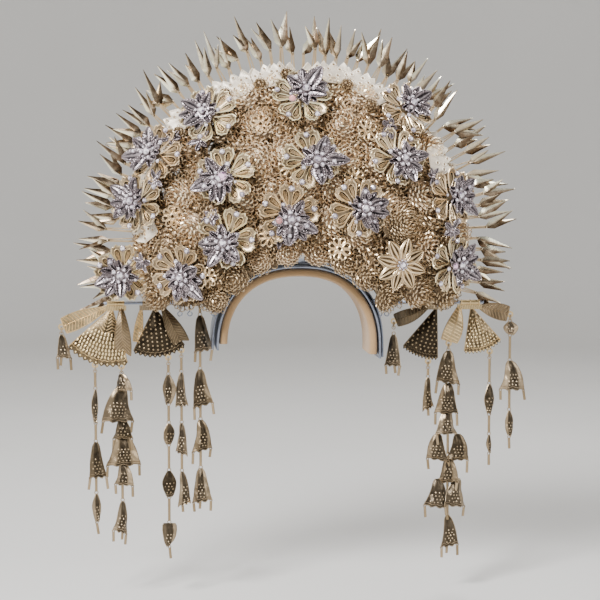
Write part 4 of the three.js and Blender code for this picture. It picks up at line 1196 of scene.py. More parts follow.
def star_layers(flower, radius, stone_radius, rng):
    """The silver star over the hearts: leaves, smaller ones under them, scrolls and a cluster of stones."""
    turn = flower.turn
    lean_turn = math.degrees(math.atan2(flower.star_y, flower.star_x))

    def reach(angle):
        return radius * (1 + STAR.lean * math.cos(math.radians(angle - lean_turn)))

    shapes = []
    for index in range(PARTS):
        low_turn = turn + STEP * index
        high_turn = low_turn + STEP / 2
        long, short = reach(high_turn), reach(low_turn)
        length, width = long * rng.uniform(*LEAF.length), long * rng.uniform(*LEAF.width)
        leaf = star_petal(length, width, rng.uniform(*LEAF.curl))
        leaf = turned(turned(leaf, rng.uniform(*LEAF.roll), "x"), rng.uniform(*LEAF.pitch), "y")
        shapes.append(turned(leaf, high_turn + rng.uniform(*LEAF.turn)))
        low = star_petal(short * rng.uniform(*LOW_LEAF.length), LOW_LEAF.width * short, LOW_LEAF.curl)
        low = moved(low, offset=(0, 0, -LOW_LEAF.drop))
        shapes.append(turned(low, low_turn + rng.uniform(*LOW_LEAF.turn)))
        coil = moved(scroll(SCROLL.radius, SCROLL.wire), offset=(SCROLL.along * radius, 0, SCROLL.lift))
        shapes.append(turned(coil, low_turn + STEP / 4))
    shapes.append(rounds([(3, 2), (4.4, 5.2), (6.4, 7.2), (6, 8.4), (1, 8.6)], 12, 0.4))
    layers = [Layer(gathered(shapes), "silver", rng.uniform(*STAR.tint))]
    layers += stone_layers(stone_radius, (0, 0, CLUSTER.middle_lift), rng)
    for index in range(CLUSTER.count):
        angle = 2 * math.pi * (index + rng.uniform(*CLUSTER.shift)) / CLUSTER.count
        spot = around(0, 0, CLUSTER.radius, angle)
        layers += stone_layers(rng.uniform(*CLUSTER.stone), (*spot, CLUSTER.lift), rng)
    for index in range(PARTS):
        spot = around(0, 0, LEAF_STONE.along * radius, math.radians(turn + STEP / 2 + STEP * index))
        layers += stone_layers(rng.uniform(*LEAF_STONE.radius), (*spot, LEAF_STONE.lift), rng)
    return layers


def planted(layers, place):
    """The layers of a flower set on the dome, and its stem."""
    basis, head = facing(place.x, place.z, FLOWER.lift)
    seat = flower_seat(place.x, place.z)
    front = seat.y - STRIP.thickness / 2 - 2 * GAP
    path = [head, (seat.x, front - FLOWER.ankle, seat.z), (seat.x, front, seat.z)]
    widths = 2 * np.array([FLOWER.stem, FLOWER.stem, FLOWER.foot])
    post = sweep(path, widths, sides=8, up=(0.02, 0, 1), polish=0.35)
    return [*moved_layers(layers, basis, head), Layer(post, "gilt", 0.4)]


# The coloured stones, by the number of the flower that has one
ColouredStone = namedtuple("ColouredStone", "radius x y lift finish")
COLOURED_STONES = {
    2: ColouredStone(3.3, -10, -6, 10.5, "pink_stone"),
    5: ColouredStone(4.2, -1, -2, 12.6, "lilac_stone"),
    10: ColouredStone(3.2, -10, -6, 10.5, "pink_stone"),
    15: ColouredStone(3.2, -5.5, -2.5, 12.5, "lilac_stone"),
}


class CROWN_OT_flowers(bpy.types.Operator):
    """Make the large flowers: pierced gilt hearts, a silver star over them and cut stones"""
    bl_idname = "crown.flowers"
    bl_label = "Large flowers"

    def execute(self, context):
        sizes = context.scene.crown_sizes
        radius, stone_radius = sizes.flower_radius / MM, sizes.stone_radius / MM
        for number, place in enumerate(LARGE_FLOWERS, 1):
            rng = np.random.default_rng(SEED + number)
            layers = []
            tint = rng.uniform(0.45, 0.85)
            for index in range(PARTS):
                layers += heart_layers(radius * rng.uniform(0.96, 1.02), place.turn + STEP * index, tint, rng)
            star = star_layers(place, STAR.share * radius, stone_radius, rng)
            layers += moved_layers(star, offset=(place.star_x, place.star_y, 0))
            if number in COLOURED_STONES:
                stone = COLOURED_STONES[number]
                layers += stone_layers(stone.radius, (stone.x, stone.y, stone.lift), rng, stone.finish)
            back = rounds([(1.4, -2), (5, 0.2), (6, 1.6), (3, 2.6)], 12, 0.3)
            layers.append(Layer(back, "cream_gilt", 0.5))
            name = f"flower_{number}"
            make_piece(name, planted(layers, place), "crown", [f"large_{name}"])
        return {"FINISHED"}


# The pointed flower: its rings of petals, the stone in its middle and the small ones round that
PointedRing = namedtuple("PointedRing", "length width turn rise")
POINTED_RINGS = [PointedRing(26, 13, 0, 0), PointedRing(18, 9, 22.5, -1.2)]
POINTED = SimpleNamespace(petals=8, stone=3.2, stone_lift=5, small_stone=1.2, small_radius=4.6, small_lift=4)


def pointed_petal(length, width):
    """A pointed gilt petal with three ridges and grooves between them, with painted shade in the grooves."""
    root = 2.5

    def place(u, v):
        half = width / 2 * np.sin(math.pi * (0.1 + 0.88 * v)) ** 0.8
        return root + (length - root) * v, (2 * u - 1) * half, 2.6 * np.sin(math.pi * (0.25 + 0.62 * v)) - 0.3

    def ridges(u, v):
        return 0.75 * np.cos(6 * math.pi * (u - 0.5)) * np.sin(math.pi * (0.1 + 0.85 * v))

    # painted highlights on the ridges and painted shade in the grooves
    def shine(u, v):
        return np.clip(0.3 + 0.7 * np.cos(6 * math.pi * (u - 0.5)), 0, 1)

    rim = edge_loop(*leaf_edges(place, 10), 0.9, 0.9)
    return gathered([stamped(place, 18, 10, 0.6, shine, ridges), rim])


class CROWN_OT_pointed_flower(bpy.types.Operator):
    """Make the ribbed gilt flower with pointed petals"""
    bl_idname = "crown.pointed_flower"
    bl_label = "Pointed flower"

    def execute(self, context):
        rng = np.random.default_rng(SEED)
        petals = []
        turns = [360 / POINTED.petals * index for index in range(POINTED.petals)]
        for ring in POINTED_RINGS:
            petal = moved(pointed_petal(ring.length, ring.width), offset=(0, 0, ring.rise))
            petals += [turned(petal, turn + ring.turn) for turn in turns]
        layers = [Layer(gathered(petals), "cream_gilt", 0.42)]
        layers += stone_layers(POINTED.stone, (0, 0, POINTED.stone_lift), rng)
        for turn in turns:
            spot = around(0, 0, POINTED.small_radius, math.radians(turn + 180 / POINTED.petals))
            layers += stone_layers(POINTED.small_stone, (*spot, POINTED.small_lift), rng)
        layers = planted(layers, POINTED_FLOWER)
        make_piece("pointed_flower", layers, "crown", ["gilt_flower"])
        return {"FINISHED"}


# Crest plates and spikes behind the rim

CREST_KINDS = 4
CREST_TINT = (0.6, 1)

# How the folded leaves differ: shares of their sizes, and lean, fork, roll and pitch in degrees
SPIKE_LEAF = SimpleNamespace(
    neck=(-4, 3), least_back=0.6, lean=(-3, 12), lean_limits=(-26, 24), droop=6, droop_below=25,
    fork=(12, 34), second=(0.7, 0.95), length=(0.86, 1.18), width=(0.75, 1.08), fold=(2.2, 3.4),
    roll=(-38, 38), pitch=(-4, 9), tint=(0.55, 1.15))

# Where the wires of a spike stand beside each other on the strip, how thick they are and how far they sway
SPIKE_WIRE = SimpleNamespace(shifts=(-2.7, 0.2, 2.9), width=1.3, sway=(-1.6, 1.6), closing=0.6)

# Where the ringed pits of a crest plate are, as shares of its width and its height
CREST_PITS = [(0.12, 0.7), (0.3, 0.8), (0.5, 0.84), (0.7, 0.8), (0.88, 0.7), (0.34, 0.42), (0.64, 0.46)]


def crest_plate(rng):
    """A crumpled plate of pale sheet with a pointed upper edge and ringed pits, upright about its foot."""
    points = 3
    low, half = CREST.base - STRIP.width / 2, CREST.width / 2
    creases = rng.uniform(0, 6, 3)

    def place(u, v):
        side = 2 * u - 1
        top = CREST.top - 4 * side**2 - tooth(u, points, 6)
        ridge = 1 - tooth(u, points, 1)
        lumps = np.sin(7 * u + creases[0]) * np.sin(6 * v + creases[1])
        lumps = lumps + 0.5 * np.sin(15 * u + 11 * v + creases[2])
        out = 1.1 * lumps * v + 1.5 * ridge * v**2
        return side * half * (0.72 + 0.28 * np.sqrt(v)), low + (top - low) * v, out

    # painted light: the plate is lighter towards its top, along the ridge of each point
    def shine(u, v):
        return 0.62 + 0.38 * v * (1 - tooth(u, points, 1))

    shapes = [stamped(place, 6 * points, 9, 0.8, shine)]
    run = np.linspace(0, 1, 6 * points + 1)
    rim = np.column_stack(place(run, 1 + 0 * run))
    # painted highlight along the pointed rim
    shapes.append(sweep(rim, 1.1, sides=4, polish=1))
    ring = sweep(np.column_stack([circle(1.9, 9), np.full(9, 0.3)]), 0.9, sides=4, closed=True, polish=0.95)
    # painted shade: the middle of each pit is dark
    pit = gathered([ring, rounds([(1.5, -0.2), (1.3, 0.2)], 8, 0)])
    for u, v in CREST_PITS:
        spot = np.array(place(np.array(u), np.array(v))) + (0, 0, 0.5)
        shapes.append(moved(pit, offset=spot))
    return gathered(shapes)


# Small rosettes and plates that stand in front of the crest
BUTTONS = [(-12, 198), (-38, 188), (-72, 178), (47, 188), (-117, 141), (69, 168)]
FRONT_PLATES = [
    (-80, 173), (-58, 183), (-30, 192), (34, 196), (56, 189), (73, 177), (-117, 147), (136, 113), (-148, 49),
]
FRONT_PLATE = SimpleNamespace(lift=9, turn=(-15, 15), stem=1.6)


def crest_stem(x, z, head, width, finish, tint):
    """A stem to a head from the nearest place of the crest's strip."""
    seat_x, seat_z = on_fan(FAN.rim, math.atan2(z - FAN.z, x - FAN.x))
    return Layer(stem((seat_x, CREST_STRIP_Y - 1, seat_z), head, width), finish, tint)


class CROWN_OT_crest(bpy.types.Operator):
    """Make the pale scalloped plates behind the rim and the small buttons in front of them"""
    bl_idname = "crown.crest"
    bl_label = "Crest plates"

    def execute(self, context):
        rng = np.random.default_rng(SEED)
        strip = strip_band(rim_places(FRAME.rim_steps), lambda x, z: CREST_STRIP_Y)
        layers = [Layer(strip, "pale_gilt", 0.5)]
        upright, middle = rotation(90, "x"), (CREST.base + CREST.top) / 2
        plates = [crest_plate(rng) for _ in range(CREST_KINDS)]
        for turn in np.linspace(CREST.first, CREST.last, CREST.count):
            plate = plates[rng.integers(len(plates))]
            plate = moved(plate, rotation(90 - turn, "y") @ upright, (FAN.x, CREST_STRIP_Y, FAN.z))
            layers.append(Layer(plate, "cream", rng.uniform(*CREST_TINT)))
        for x, z in FRONT_PLATES:
            basis, origin = facing(x, z, FRONT_PLATE.lift)
            turn = math.degrees(math.atan2(z - FAN.z, x - FAN.x)) - 90 + rng.uniform(*FRONT_PLATE.turn)
            plate = turned(moved(plates[rng.integers(len(plates))], offset=(0, -middle, 0)), turn)
            layers.append(Layer(moved(plate, basis, origin), "cream", rng.uniform(*CREST_TINT)))
            layers.append(crest_stem(x, z, origin, FRONT_PLATE.stem, "pale_gilt", 0.4))
        button = rosette(BUTTON.radius, BUTTON.rise, BUTTON.petals, BUTTON.wire, rng)
        for x, z in BUTTONS:
            head = np.array((x, dome_y(x, z) - BUTTON.lift, z))
            layers.append(Layer(moved(button, upright, head), "gilt", BUTTON.tint))
            layers.append(crest_stem(x, z, head, BUTTON.stem, "gilt", 0.3))
        make_piece("crest", layers, "crown", ["crest_plates"])
        return {"FINISHED"}


def spike_leaf(length, width, fold):
    """A leaf folded along its middle, along +X, its fold towards +Z."""
    shares = [0, 0.22, 1]

    def place(u, v):
        half = width / 2 * np.interp(v, shares, [0.34, 1, 0.03])
        ridge = fold * np.interp(v, shares, [0.5, 1, 0.1])
        return length * v, (2 * u - 1) * half, ridge * (1 - np.abs(2 * u - 1))

    # painted light and shade: one half of the fold is lit, the other shaded
    def shine(u, v):
        return np.where(u > 0.5, 1.0, 0.1) - 0.1 * np.abs(2 * u - 1)

    return stamped(place, 4, 9, 0.45, shine)


class CROWN_OT_spikes(bpy.types.Operator):
    """Make the fringe of folded leaves on bent wires"""
    bl_idname = "crown.spikes"
    bl_label = "Spike fringe"

    def execute(self, context):
        sizes, vary = context.scene.crown_sizes, SPIKE_LEAF
        rng = np.random.default_rng(SEED)
        strip = strip_band(rim_places(FRAME.rim_steps), lambda x, z: SPIKE_STRIP_Y)
        layers = [Layer(strip, "pale_gilt", 0.4)]
        collar = turned(rounds([(0.5, -2), (1.5, -0.6), (1.7, 0.8), (0.8, 2.4)], 8, 0.5), 90, "y")
        turns = np.linspace(SPIKES.first, SPIKES.last, sizes.spike_count)
        for index, turn in enumerate(turns):
            row = index % SPIKES.rows
            neck = SPIKES.neck - SPIKES.neck_per_row * row + rng.uniform(*vary.neck)
            back = (0.5 + row) * SPIKES.lean * (neck - SPIKES.bend) / SPIKES.lean_run
            foot, base = on_fan(FAN.rim, math.radians(turn)), on_fan(neck, math.radians(turn))
            start = np.array((foot[0], SPIKE_STRIP_Y, foot[1]))
            end = np.array((base[0], SPIKE_STRIP_Y + max(back, vary.least_back), base[1]))
            lean = turn + float(np.clip(rng.normal(*vary.lean), *vary.lean_limits))
            lean -= vary.droop * (turn < vary.droop_below)
            fork = rng.uniform(*vary.fork) * rng.choice((-1, 1))
            for share, angle in ((1, lean), (rng.uniform(*vary.second), lean + fork)):
                length = share * sizes.spike_length / MM * rng.uniform(*vary.length)
                width = sizes.spike_width / MM * rng.uniform(*vary.width)
                leaf = spike_leaf(length, width, rng.uniform(*vary.fold))
                axes = rotation(-angle, "y") @ rotation(90, "x") @ rotation(rng.uniform(*vary.roll), "x")
                axes = rotation(rng.uniform(*vary.pitch), "x") @ axes
                tint = rng.uniform(*vary.tint)
                layers.append(Layer(moved(leaf, axes, end), "pale_gilt", tint))
            layers.append(Layer(moved(collar, axes, end), "pale_gilt", 0.6 * tint))
            layers += self.wires(start, end, axes[:, 0], rng)
        make_piece("spikes", layers, "crown", ["spike_fringe"])
        return {"FINISHED"}

    @staticmethod
    def wires(start, end, ahead, rng):
        """Thin brass wires from the strip into the foot of a leaf, bent a little on the way."""
        made = []
        side = np.array((ahead[2], 0, -ahead[0]))
        t = np.linspace(0, 1, 6)[:, None]
        for shift in SPIKE_WIRE.shifts:
            sway = rng.uniform(*SPIKE_WIRE.sway)
            path = start + side * shift + (end - side * shift * SPIKE_WIRE.closing - start) * t
            path = path + (side * sway + (0, 0.4, 0)) * np.sin(math.pi * t)
            wire = sweep(path, SPIKE_WIRE.width, sides=5, up=(0, 1, 0), polish=0.8)
            made.append(Layer(wire, "gilt", 0.2))
        return made


# Pendants of stamped sheet and the strings under them

def shoulder_z(bar):
    return bar - SHOULDER.drop - SHOULDER.height / 2


def on_sheet(place, u, v):
    """The axes and the origin of a spot on a sheet: down it, across it and out of its front."""
    step = 1e-3

    def at(a, b):
        return np.array([float(part) for part in place(np.float64(a), np.float64(b))])

    across = unit(at(u + step, v) - at(u - step, v))
    out = unit(np.cross(at(u, v + step) - at(u, v - step), across))
    return np.column_stack([np.cross(across, out), across, out]), at(u, v)


Studs = namedtuple("Studs", "across down length width height")
STUDS = {
    "scales": Studs(3.3, 4.1, 4.3, 2.5, 1.2), "bosses": Studs(4.6, 4.3, 2.5, 2.5, 1.1),
    "dots": Studs(3.6, 3.5, 2.4, 2.4, 1.0), "small dots": Studs(3.4, 3.1, 2.0, 2.0, 0.8),
}


def studded(place, width, height, pattern, first=0.0, last=1.0, middle=1.0):
    """Raised studs in staggered rows over the middle of a sheet, whose width follows its height."""
    size = STUDS[pattern]
    # painted highlights on the tops of the studs and painted shade at their feet
    dome = rounds([(1, -0.3), (0.8, 0.6), (0.3, 1)], 6, np.repeat([0.2, 0.95, 1.0], 6))
    dome = dome._replace(points=dome.points * (size.length / 2, size.width / 2, size.height))
    rows = max(1, round(height * (last - first) / size.down))
    shapes = []
    for row in range(rows):
        v = first + (last - first) * (row + 0.5) / rows
        count = max(1, round(middle * width(v) / size.across))
        stagger = 0.25 * (-1) ** row if count > 1 else 0
        for index in range(count):
            across = (index + 0.5 + stagger) / count
            shapes.append(moved(dome, *on_sheet(place, 0.5 + middle * (across - 0.5), v)))
    return shapes


# The ribs: how far apart and how steep they are, their section, and the spans of a sheet that they cross
RIB = SimpleNamespace(pitch=3.4, slant=3.6, width=1.3, height=1.1)
RIB_SPANS = {
    "ribs": [(0.04, 0.96)], "herringbone": [(0.5, 0.05), (0.5, 0.95)],
    "fern": [(0.25, 0.03), (0.25, 0.47), (0.75, 0.53), (0.75, 0.97)],
}
FERN_SHARE = 0.4
DOT_RAYS = 7


def ribbed(place, height, pattern, last=1.0):
    """Wire ribs over a sheet, slanting down from the start of each span to its end."""
    count = max(2, round(height * last / RIB.pitch))
    share = np.linspace(0, 1, 4)
    shapes = []
    for index in range(count):
        for start, end in RIB_SPANS[pattern]:
            v = np.clip(last * (index + 0.15) / count + RIB.slant / height * share, 0.01, 0.985)
            path = np.column_stack(np.broadcast_arrays(*place(start + (end - start) * share, v)))
            # painted highlights: the ribs are painted lighter than the sheet under them
            rib = sweep(path - (0, 0.5, 0), RIB.width, RIB.height, sides=4, up=(0, 1, 0), polish=0.75)
            shapes.append(rib)
    return shapes


def edge_wire(place, u, v, width, polish=0.6):
    """A wire along a line of a sheet, on its front."""
    path = np.column_stack(np.broadcast_arrays(*place(u, v)))
    return sweep(path - (0, 0.35, 0), width, sides=4, up=(0, 1, 0), polish=polish)


# How light the sheet of a pendant is in each finish: painted light on the bright gilt and painted shade on
# the dark gilt
SHEET_TINTS = {"bright_gilt": 0.72, "worn_gilt": 0.5, "old_gilt": 0.05}


def tail_layer(tail, bar):
    """A fan tail with raised studs and a toothed lower edge with a granule on each tooth."""
    root, bulge, teeth, tooth_depth = 2, 5, 11, 2.4
    half_turn = math.radians(tail.spread)

    def place(u, v):
        turn = math.radians(tail.angle) + half_turn * (2 * u - 1)
        radius = root + (tail.radius - tooth(u, teeth, tooth_depth) * v**6 - root) * v
        swell = bulge * np.sin(math.pi * u) * np.sin(math.pi * v)
        return tail.start + radius * np.cos(turn), BAR.y - swell, shoulder_z(bar) + radius * np.sin(turn)

    def width(v):
        return 2 * half_turn * tail.radius * v

    run = np.linspace(0, 1, 23)
    # painted shade: the sheet is dark between the bright studs
    shapes = [stamped(place, 2 * teeth, 16, SHEET, lambda u, v: 0.06 + 0 * u)]
    first = FERN_SHARE if tail.pattern == "scales" else 0.1
    shapes += studded(place, width, tail.radius, tail.pattern, first, 0.88)
    if tail.pattern == "scales":
        shapes += ribbed(place, tail.radius, "fern", FERN_SHARE)
    if tail.pattern == "dots":
        rays = np.linspace(0, 1, DOT_RAYS + 2)[1:-1]
        shapes += [edge_wire(place, u + 0 * run, 0.2 + 0.68 * run, 0.9, 0.8) for u in rays]
    shapes += [edge_wire(place, side + 0 * run, run, 1.4) for side in (0, 1)]
    shapes.append(edge_wire(place, run, 0.9 + 0 * run, 1.2))
    for index in range(teeth):
        spot = np.ravel(place(np.array((index + 0.5) / teeth), np.array(0.95)))
        shapes.append(moved(bead(1.1, 6, 1), offset=spot - (0, 0.9, 0)))
    return Layer(gathered(shapes), tail.finish, SHEET_TINTS[tail.finish])


def wing_layer(wing, bar):
    """A folded leaf-shaped wing, bowed in front of the tail or behind it, with ribs and a wire rim."""
    turn = math.radians(wing.angle)
    forward, back, fold = 5.2, 2.2, 1.5

    def place(u, v):
        across = (u - 0.5) * wing.width * (0.1 + 0.9 * np.sin(math.pi * (0.02 + 0.62 * v)))
        ridge = fold * (1 - np.abs(2 * u - 1))
        bow = (-forward - ridge if wing.in_front else back + ridge) * np.sin(math.pi * v)
        along = wing.length * v * (1 - wing.notch * (1 - np.abs(2 * u - 1)))
        x = wing.start + along * math.cos(turn) - across * math.sin(turn)
        return x, BAR.y + bow, shoulder_z(bar) + along * math.sin(turn) + across * math.cos(turn)

    run = np.linspace(0, 1, 16)
    shapes = [stamped(place, 8, 18, SHEET, lambda u, v: 0.3 + 0 * u)]
    shapes += ribbed(place, wing.length, wing.pattern)
    shapes += [edge_wire(place, side + 0 * run, run, 1.3) for side in (0, 0.5, 1)]
    shapes.append(edge_wire(place, run, 1 + 0 * run, 1.3))
    return Layer(gathered(shapes), wing.finish, SHEET_TINTS[wing.finish])


def zigzag(step):
    """A line that goes from 0 to 1 in one step and back to 0 in the next."""
    return 1 - abs(step % 2 - 1)


def tail_eye(butterfly, share):
    """The hole of a tab on a tail's lower edge."""
    reach = butterfly.tail.radius - zigzag(share * TAIL_EDGE.steps) * TAIL_EDGE.depth + TAB.reach
    turn = math.radians(butterfly.tail.angle + butterfly.tail.spread * (2 * share - 1))
    return around(butterfly.tail.start, shoulder_z(butterfly.bar), reach, turn)


def wing_eye(butterfly, index):
    wing = butterfly.wings[index]
    return around(wing.start, shoulder_z(butterfly.bar), wing.length + TAB.reach, math.radians(wing.angle))


def eye_place(hang):
    butterfly = BUTTERFLIES[hang.butterfly]
    x, z = wing_eye(butterfly, hang.wing) if hang.tail is None else tail_eye(butterfly, hang.tail)
    return np.array((x, BAR.y, z))


def hem_tube(left, right, bar):
    """The hem rolled round a side bar, with three raised rings."""
    middle = (left + right) / 2
    tube = pierced(circle(HEM.outer, 20), [circle(HEM.inner, 20)], right - left, 0.55)
    shapes = [moved(tube, rotation(90, "y"), (middle, BAR.y, bar))]
    ring = turned(torus(HEM.outer + 0.1, HEM.ring_wire, 18, 5, 0.9), 90)
    shapes += [moved(ring, offset=(x, BAR.y, bar)) for x in (left + 1, middle, right - 1)]
    return gathered(shapes)


def shoulder_plate(butterfly):
    """The ribbed strip that the tail and the wings are soldered to."""
    ends = [*butterfly.hem, butterfly.tail.start, *(wing.start for wing in butterfly.wings)]
    left, right = min(ends) - SHOULDER.margin, max(ends) + SHOULDER.margin
    top = butterfly.bar - SHOULDER.drop

    def place(u, v):
        return left + (right - left) * u, BAR.y + 0 * u, top - SHOULDER.height * v

    def height(u, v):
        wave = (u * (right - left) / 2.4 + 0.5 * v) % 1
        return 0.5 * (1 - np.abs(2 * wave - 1))

    columns = round((right - left) * 1.6)
    return stamped(place, columns, 4, SHOULDER.thickness, lambda u, v: 0.3 + height(u, v), height)


class CROWN_OT_pendants(bpy.types.Operator):
    """Make the four butterfly pendants of stamped sheet"""
    bl_idname = "crown.pendants"
    bl_label = "Butterfly pendants"

    def execute(self, context):
        tab = turned(pierced(circle(TAB.radius, 14), [circle(TAB.hole, 12)], TAB.thickness, 0.7), 90, "x")
        for name, butterfly in BUTTERFLIES.items():
            bar, finish = butterfly.bar, butterfly.tail.finish
            layers = [Layer(hem_tube(*butterfly.hem, bar), finish, 0.4)]
            layers.append(Layer(shoulder_plate(butterfly), finish, 0.5))
            layers.append(tail_layer(butterfly.tail, bar))
            layers += [wing_layer(wing, bar) for wing in butterfly.wings]
            hangs = [string.hang for string in STRINGS if string.hang.butterfly == name]
            layers += [Layer(moved(tab, offset=eye_place(hang)), "bright_gilt", 0.5) for hang in hangs]
            make_piece(f"pendant_{name}", layers, f"{name}_pendant", [f"butterfly_{name}"])
        return {"FINISHED"}


# The half width of a plate, as a share of its width, at shares of its height
PLATE_OUTLINES = {
    "bell": ([0, 0.05, 0.14, 0.3, 0.6, 0.85, 0.95, 1], [0.08, 0.16, 0.21, 0.27, 0.36, 0.43, 0.5, 0.49]),
    "leaf": ([0, 0.05, 0.25, 0.45, 0.7, 0.95, 1], [0.1, 0.16, 0.38, 0.5, 0.42, 0.24, 0.16]),
    "shield": ([0, 0.02, 0.3, 0.55, 0.8, 0.98, 1], [0.4, 0.5, 0.5, 0.44, 0.3, 0.1, 0.05]),
}

# How a plate is bent: bow, lean, droop and ripple as shares of its size, and how light it is
PLATE = SimpleNamespace(
    bow=(0.16, 0.26), most_bow=5, skew=(-0.35, 0.35), lean=(-0.1, 0.1), droop=(-0.07, 0.07), ripple=0.03,
    tint=(0.1, 0.75))

# Two plates side by side: their place and width as shares of the pair's width, and how far they turn apart
PAIR = SimpleNamespace(reach=0.23, width=0.54, splay=9, yoke_wire=1.3)

# How far a plate may hang askew, in degrees
PLATE_TILTS = {"bell": 7, "leaf": 3, "shield": 5}


def string_plate(row, rng):
    """A dented plate that hangs from its top, with folded sides and a dotted middle, and its corners."""
    downs, halves = PLATE_OUTLINES[row.shape]
    bow = min(PLATE.most_bow, row.width * rng.uniform(*PLATE.bow))
    skew, lean = rng.uniform(*PLATE.skew), row.width * rng.uniform(*PLATE.lean)
    droop, ripple = row.height * rng.uniform(*PLATE.droop), PLATE.ripple * row.height
    # painted highlights on the folded sides
    gleams = rng.uniform(0, 1, 2) ** 2
    dent = rng.uniform(0, 6)

    def width(v):
        return 2 * row.width * np.interp(v, downs, halves)

    def place(u, v):
        side = 2 * u - 1
        dents = 0.17 * np.sin(8 * u + 9 * v + dent) + 0.11 * np.sin(15 * u - 13 * v + 2 * dent)
        panel = np.clip((1 - np.abs(side)) / 0.6, 0, 1) + skew * side + dents
        y = -bow * panel * np.interp(v, [0, 0.3, 0.8, 1], [0, 0.7, 1, 0.9])
        hem = droop * side * v**2 + ripple * np.cos(3 * math.pi * side) * v**4
        return side * width(v) / 2 + lean * np.sin(math.pi * v), y, hem - row.height * v

    # painted light: the folded sides gleam by random amounts over a dark middle
    def shine(u, v):
        return 0.09 + gleams[0] * (u < 0.28) + gleams[1] * (u > 0.72)

    run = np.linspace(0, 1, 11)
    shapes = [stamped(place, 10, 12, 0.7, shine)]
    shapes += studded(place, width, row.height, "small dots", first=0.42, last=0.88, middle=0.72)
    shapes += [edge_wire(place, side + 0 * run, run, 0.9) for side in (0, 1)]
    shapes += [edge_wire(place, run, share + 0 * run, 0.9) for share in (0.9, 0.98)]
    corners = [np.ravel(place(np.float64(u), np.float64(0.96))) for u in (0.05, 0.95)]
    return gathered(shapes), corners


def strip_link(length):
    """A flat brass strip with a raised line down its middle."""
    def place(u, v):
        return (u - 0.5) * LINK.width, 0 * u, -length * v

    def line(u, v):
        return 1 - np.abs(2 * u - 1)

    return stamped(place, 4, 2, 0.6, lambda u, v: 0.55 + 0.3 * line(u, v), lambda u, v: 0.35 * line(u, v))


def dangle(place, turn, length, rng):
    """A loose strip on a small ring, hanging nearly straight."""
    swing = rotation(rng.uniform(*LOOSE_STRIP.swing), "y")
    ring = moved(torus(LOOSE_RING.radius, LOOSE_RING.wire, 10, 5), offset=(0, 0, -LOOSE_RING.drop))
    strip = moved(strip_link(length), offset=(0, 0, -LOOSE_STRIP.drop))
    return moved(gathered([ring, strip]), rotation(turn) @ swing, place)


def string_layers(string, rng):
    """A string: jump ring, rows of strips and plates joined by small rings, and a loose strip at its end."""
    if string.hang.bar is None:
        top = eye_place(string.hang) + (0, 0, RING.in_tab + RING.wire - TAB.hole - RING.radius)
    else:
        top = np.array((string.hang.bar, BAR.y, BAR.left + BAR.wire + RING.on_bar + RING.wire - RING.radius))
    jump = moved(turned(torus(RING.radius, RING.wire), 90), offset=top)
    layers = [Layer(jump, "old_gilt", 0.9)]
    z = top[2] - RING.radius - RING.wire + LINK.lap
    for row in string.rows:
        here = np.array((top[0], BAR.y, z))
        ring = torus(LINK_RING.radius, LINK_RING.wire, 12, 5)
        layers.append(Layer(moved(ring, offset=here - (0, 0, LINK_RING.drop)), "old_gilt", 0.9))
        if row.shape != "strip":
            layers += plate_layers(row, here, rng)
        elif row.height > LINK.least:
            link = turned(strip_link(row.height - LINK.short), rng.uniform(*LINK.twist))
            layers.append(Layer(moved(link, offset=here - (0, 0, LINK.drop)), "worn_gilt", 0.4))
        z -= row.height
    last = np.array((top[0], BAR.y, z))
    layers.append(Layer(dangle(last, 0, LINK.tail - LINK.tail_short, rng), "worn_gilt", 0.4))
    return layers


def plate_layers(row, here, rng):
    """One plate of a string with loose strips at its lower corners, or two plates on a yoke round a strip."""
    if row.shape == "pair":
        reach = PAIR.reach * row.width
        bent = [(-reach, 0, -LINK.drop), (0, 0, -0.4), (reach, 0, -LINK.drop)]
        yoke = sweep(bent, PAIR.yoke_wire, sides=6, up=(0, 1, 0), polish=0.8)
        layers = [Layer(moved(yoke, rotation(row.turn), here), "old_gilt", 0.8)]
        strip = moved(strip_link(row.height - 1), offset=here + (0, 0.8, -0.6))
        layers.append(Layer(strip, "worn_gilt", 0.3))
        for side in (-1, 1):
            turn = row.turn + PAIR.splay * side
            half = row._replace(shape="bell", width=PAIR.width * row.width, turn=turn)
            layers += plate_layers(half, here + rotation(row.turn) @ np.array((side * reach, 0, 0)), rng)
        return layers
    tall = row.height + (LINK.overhang if row.shape == "bell" else -LINK.short)
    plate, corners = string_plate(row._replace(height=tall), rng)
    axes = rotation(row.turn) @ rotation(PLATE_TILTS[row.shape] * rng.uniform(-1, 1), "y")
    top = here - (0, 0, LINK.drop)
    layers = [Layer(moved(plate, axes, top), "old_gilt", rng.uniform(*PLATE.tint))]
    if row.shape == "bell" and row.width > LOOSE_STRIP.from_width:
        for corner in corners:
            loose = dangle(top + axes @ corner, row.turn, rng.uniform(*LOOSE_STRIP.length), rng)
            layers.append(Layer(loose, "worn_gilt", rng.uniform(*LOOSE_STRIP.tint)))
    return layers


class CROWN_OT_strings(bpy.types.Operator):
    """Make the strings of stamped plates, strips and rings"""
    bl_idname = "crown.strings"
    bl_label = "Strings"

    def execute(self, context):
        for number, string in enumerate(STRINGS):
            layers = string_layers(string, np.random.default_rng(STRING_SEED + number))
            body = f"{string.hang.butterfly}_pendant" if string.hang.butterfly else "crown"
            make_piece(f"plates_{string.name}", layers, body, [string.name])
        return {"FINISHED"}


# Stage

Light = namedtuple("Light", "name place size power")


